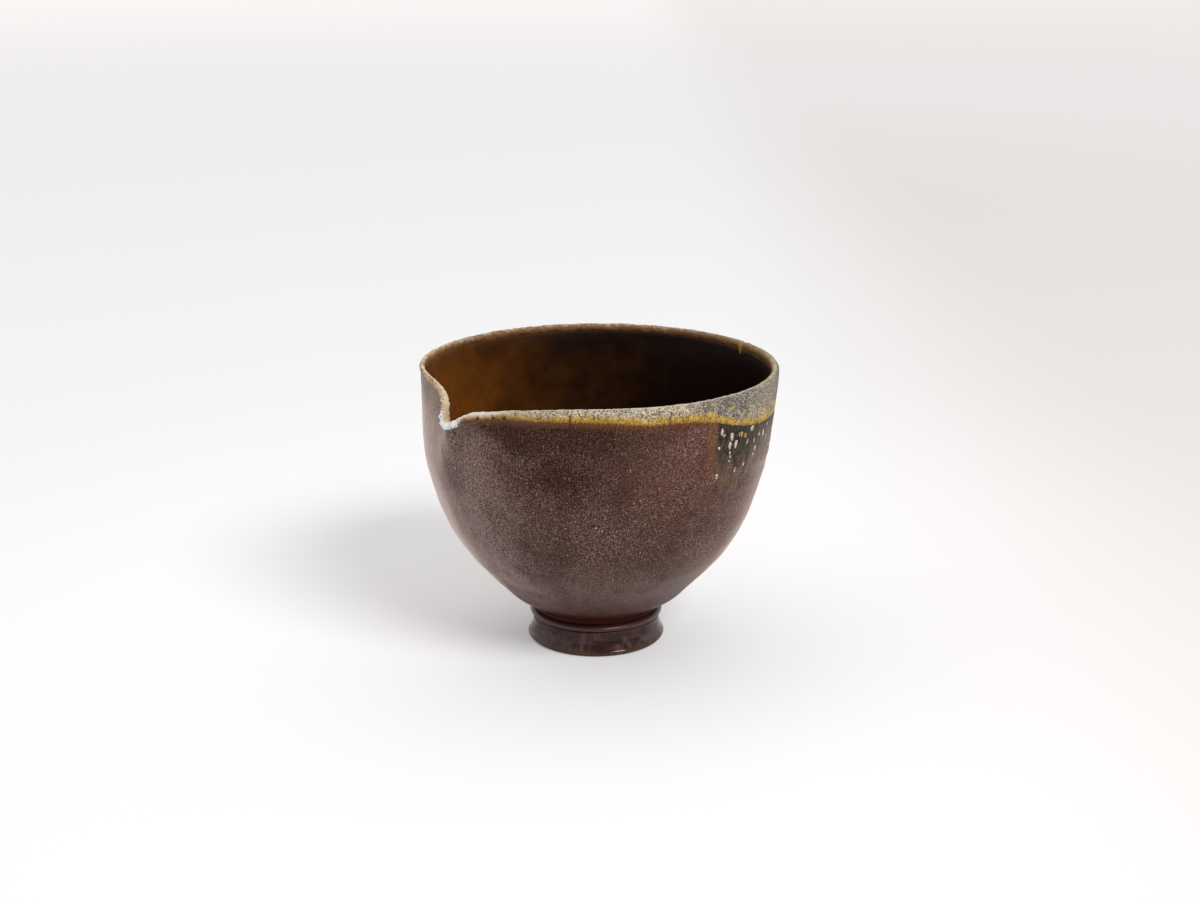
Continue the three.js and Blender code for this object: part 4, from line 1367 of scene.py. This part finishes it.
class PITCHER_OT_stage(bpy.types.Operator):
    """Set the pale floor, the soft light and the camera"""

    bl_idname = "pitcher.stage"
    bl_label = "Stage"

    def execute(self, context):
        scene = context.scene
        settings = measured(scene.pitcher_stage)
        scene.view_settings.view_transform = "Standard"
        self.lay_floor(settings)
        self.light(scene, settings)
        self.place_camera(scene, settings)
        return {"FINISHED"}

    def lay_floor(self, settings):
        """A square floor, painted greyer on the camera's right as painted shade, that glows with its
        own colour for camera and glossy rays, a little more the farther away it is, and shows nothing
        from below."""
        far = FLOOR_HALF
        mesh = bpy.data.meshes.new("floor")
        corners = [(-far, -far, 0), (far, -far, 0), (far, far, 0), (-far, far, 0)]
        mesh.from_pydata(corners, [], [(0, 1, 2, 3)])
        turn = radians(settings.camera_turn)
        r = Recipe("pale_floor")
        away = r.add("VectorMath", {0: r.place}, "Value", operation="LENGTH")
        side = {0: r.place, 1: (-sin(turn), cos(turn), 0)}
        right = r.add("VectorMath", side, "Value", operation="DOT_PRODUCT")
        near = 1 - r.step(away, 0.6, 1.8) * 0.6
        pale = r.over(
            settings.floor,
            (r.step(away, 0.5, 4.5), FAR_TINT),
            # Painted shade: greyer on the camera's right.
            (r.step(right, 0.05, 0.26) * near, RIGHT_SHADE_TINT),
        )
        matte = r.add("BsdfDiffuse", {"Color": pale})
        glow = r.add("Emission", {"Color": pale, "Strength": 1})
        camera, glossy = (r.add("LightPath", {}, f"Is {ray} Ray") for ray in ("Camera", "Glossy"))
        seen = r.math("MAXIMUM", camera, glossy)
        more = r.step(away, 0.8, 4) * 0.3 + r.step(away, 0.09, 0.4) * 0.36 + settings.lift
        lifted = r.add("MixShader", {0: seen * more, 1: matte, 2: glow})
        below = r.add("NewGeometry", {}, "Backfacing")
        clear = r.add("BsdfTransparent", {})
        both = r.add("MixShader", {0: below, 1: lifted, 2: clear})
        mesh.materials.append(r.surface("Material", both))
        new_object("floor", mesh)

    def light(self, scene, settings):
        """A sky that is dimmer towards the camera, and one large soft lamp."""
        turn = radians(settings.camera_turn)
        dim = turn + radians(DIM_TURN)
        r = Recipe("soft_sky", "worlds", "Generated")
        side = {0: r.place, 1: (cos(dim), sin(dim), 0.25)}
        facing = r.add("VectorMath", side, "Value", operation="DOT_PRODUCT")
        level = r.add("MapRange", {
            "Value": facing, "From Min": -0.3, "From Max": 0.85,
            "To Min": settings.sky, "To Max": settings.sky * settings.room,
        }, interpolation_type="SMOOTHSTEP")
        lit = r.add("Background", {"Color": SKY_TINT, "Strength": level})
        seen = r.add("Background", {"Color": BACKDROP})
        camera = r.add("LightPath", {}, "Is Camera Ray")
        scene.world = r.surface("World", r.add("MixShader", {0: camera, 1: lit, 2: seen}))
        turn, rise = turn + radians(LAMP_TURN), radians(LAMP_RISE)
        lamp = bpy.data.lights.new("key", "AREA")
        lamp.shape = "ELLIPSE"
        lamp.size, lamp.size_y = LAMP_SIZE
        lamp.energy = settings.key
        key = new_object("key", lamp)
        key.location = LAMP_AWAY * Vector((cos(turn) * cos(rise), sin(turn) * cos(rise), sin(rise)))
        key.rotation_euler = (-key.location).to_track_quat("-Z", "Y").to_euler()

    def place_camera(self, scene, settings):
        turn, tilt = radians(settings.camera_turn), radians(settings.camera_tilt)
        data = bpy.data.cameras.new("camera")
        data.sensor_fit = "HORIZONTAL"
        data.sensor_width = SENSOR
        data.lens = settings.focal / PHOTO_WIDTH * SENSOR
        data.clip_start, data.clip_end = 0.01, 50
        camera = new_object("camera", data)
        toward = Vector((cos(turn), sin(turn), 0))
        right = Vector((-toward.y, toward.x, 0))
        shift, away = settings.camera_shift / 1000, settings.camera_distance / 1000
        camera.location = toward * away + right * shift
        camera.location.z = settings.camera_height / 1000
        look = -toward * cos(tilt) + Vector((0, 0, -sin(tilt)))
        camera.rotation_euler = look.to_track_quat("-Z", "Y").to_euler()
        scene.camera = camera


OPERATORS = (
    PITCHER_OT_bowl, PITCHER_OT_foot, PITCHER_OT_liner, PITCHER_OT_crust, PITCHER_OT_run,
    PITCHER_OT_drops, PITCHER_OT_stage,
)
SETTINGS = {
    "pitcher_sizes": PitcherSizes,
    "pitcher_glazes": PitcherGlazes,
    "pitcher_colours": PitcherColours,
    "pitcher_stage": PitcherStage,
    "pitcher_mesh": PitcherMesh,
}


class PITCHER_PT_panel(bpy.types.Panel):
    """The pitcher's pieces, in the order they are built"""

    bl_label = "Tea pitcher"
    bl_idname = "PITCHER_PT_panel"
    bl_space_type = "VIEW_3D"
    bl_region_type = "UI"
    bl_category = "Tea pitcher"

    def draw(self, context):
        for operator in OPERATORS:
            self.layout.operator(operator.bl_idname)
        for name, group in SETTINGS.items():
            box = self.layout.box()
            box.label(text=name.replace("_", " ").capitalize())
            settings = getattr(context.scene, name)
            for key in group.__annotations__:
                box.prop(settings, key)


CLASSES = (*SETTINGS.values(), *OPERATORS, PITCHER_PT_panel)


def register():
    for item in CLASSES:
        bpy.utils.register_class(item)
    for name, group in SETTINGS.items():
        setattr(bpy.types.Scene, name, PointerProperty(type=group))


def unregister():
    for name in SETTINGS:
        delattr(bpy.types.Scene, name)
    for item in reversed(CLASSES):
        bpy.utils.unregister_class(item)


def main():
    register()
    bpy.ops.pitcher.bowl()
    bpy.ops.pitcher.foot()
    bpy.ops.pitcher.liner()
    bpy.ops.pitcher.crust()
    bpy.ops.pitcher.run()
    bpy.ops.pitcher.drops()
    bpy.ops.pitcher.stage()


if __name__ == "__main__":
    main()
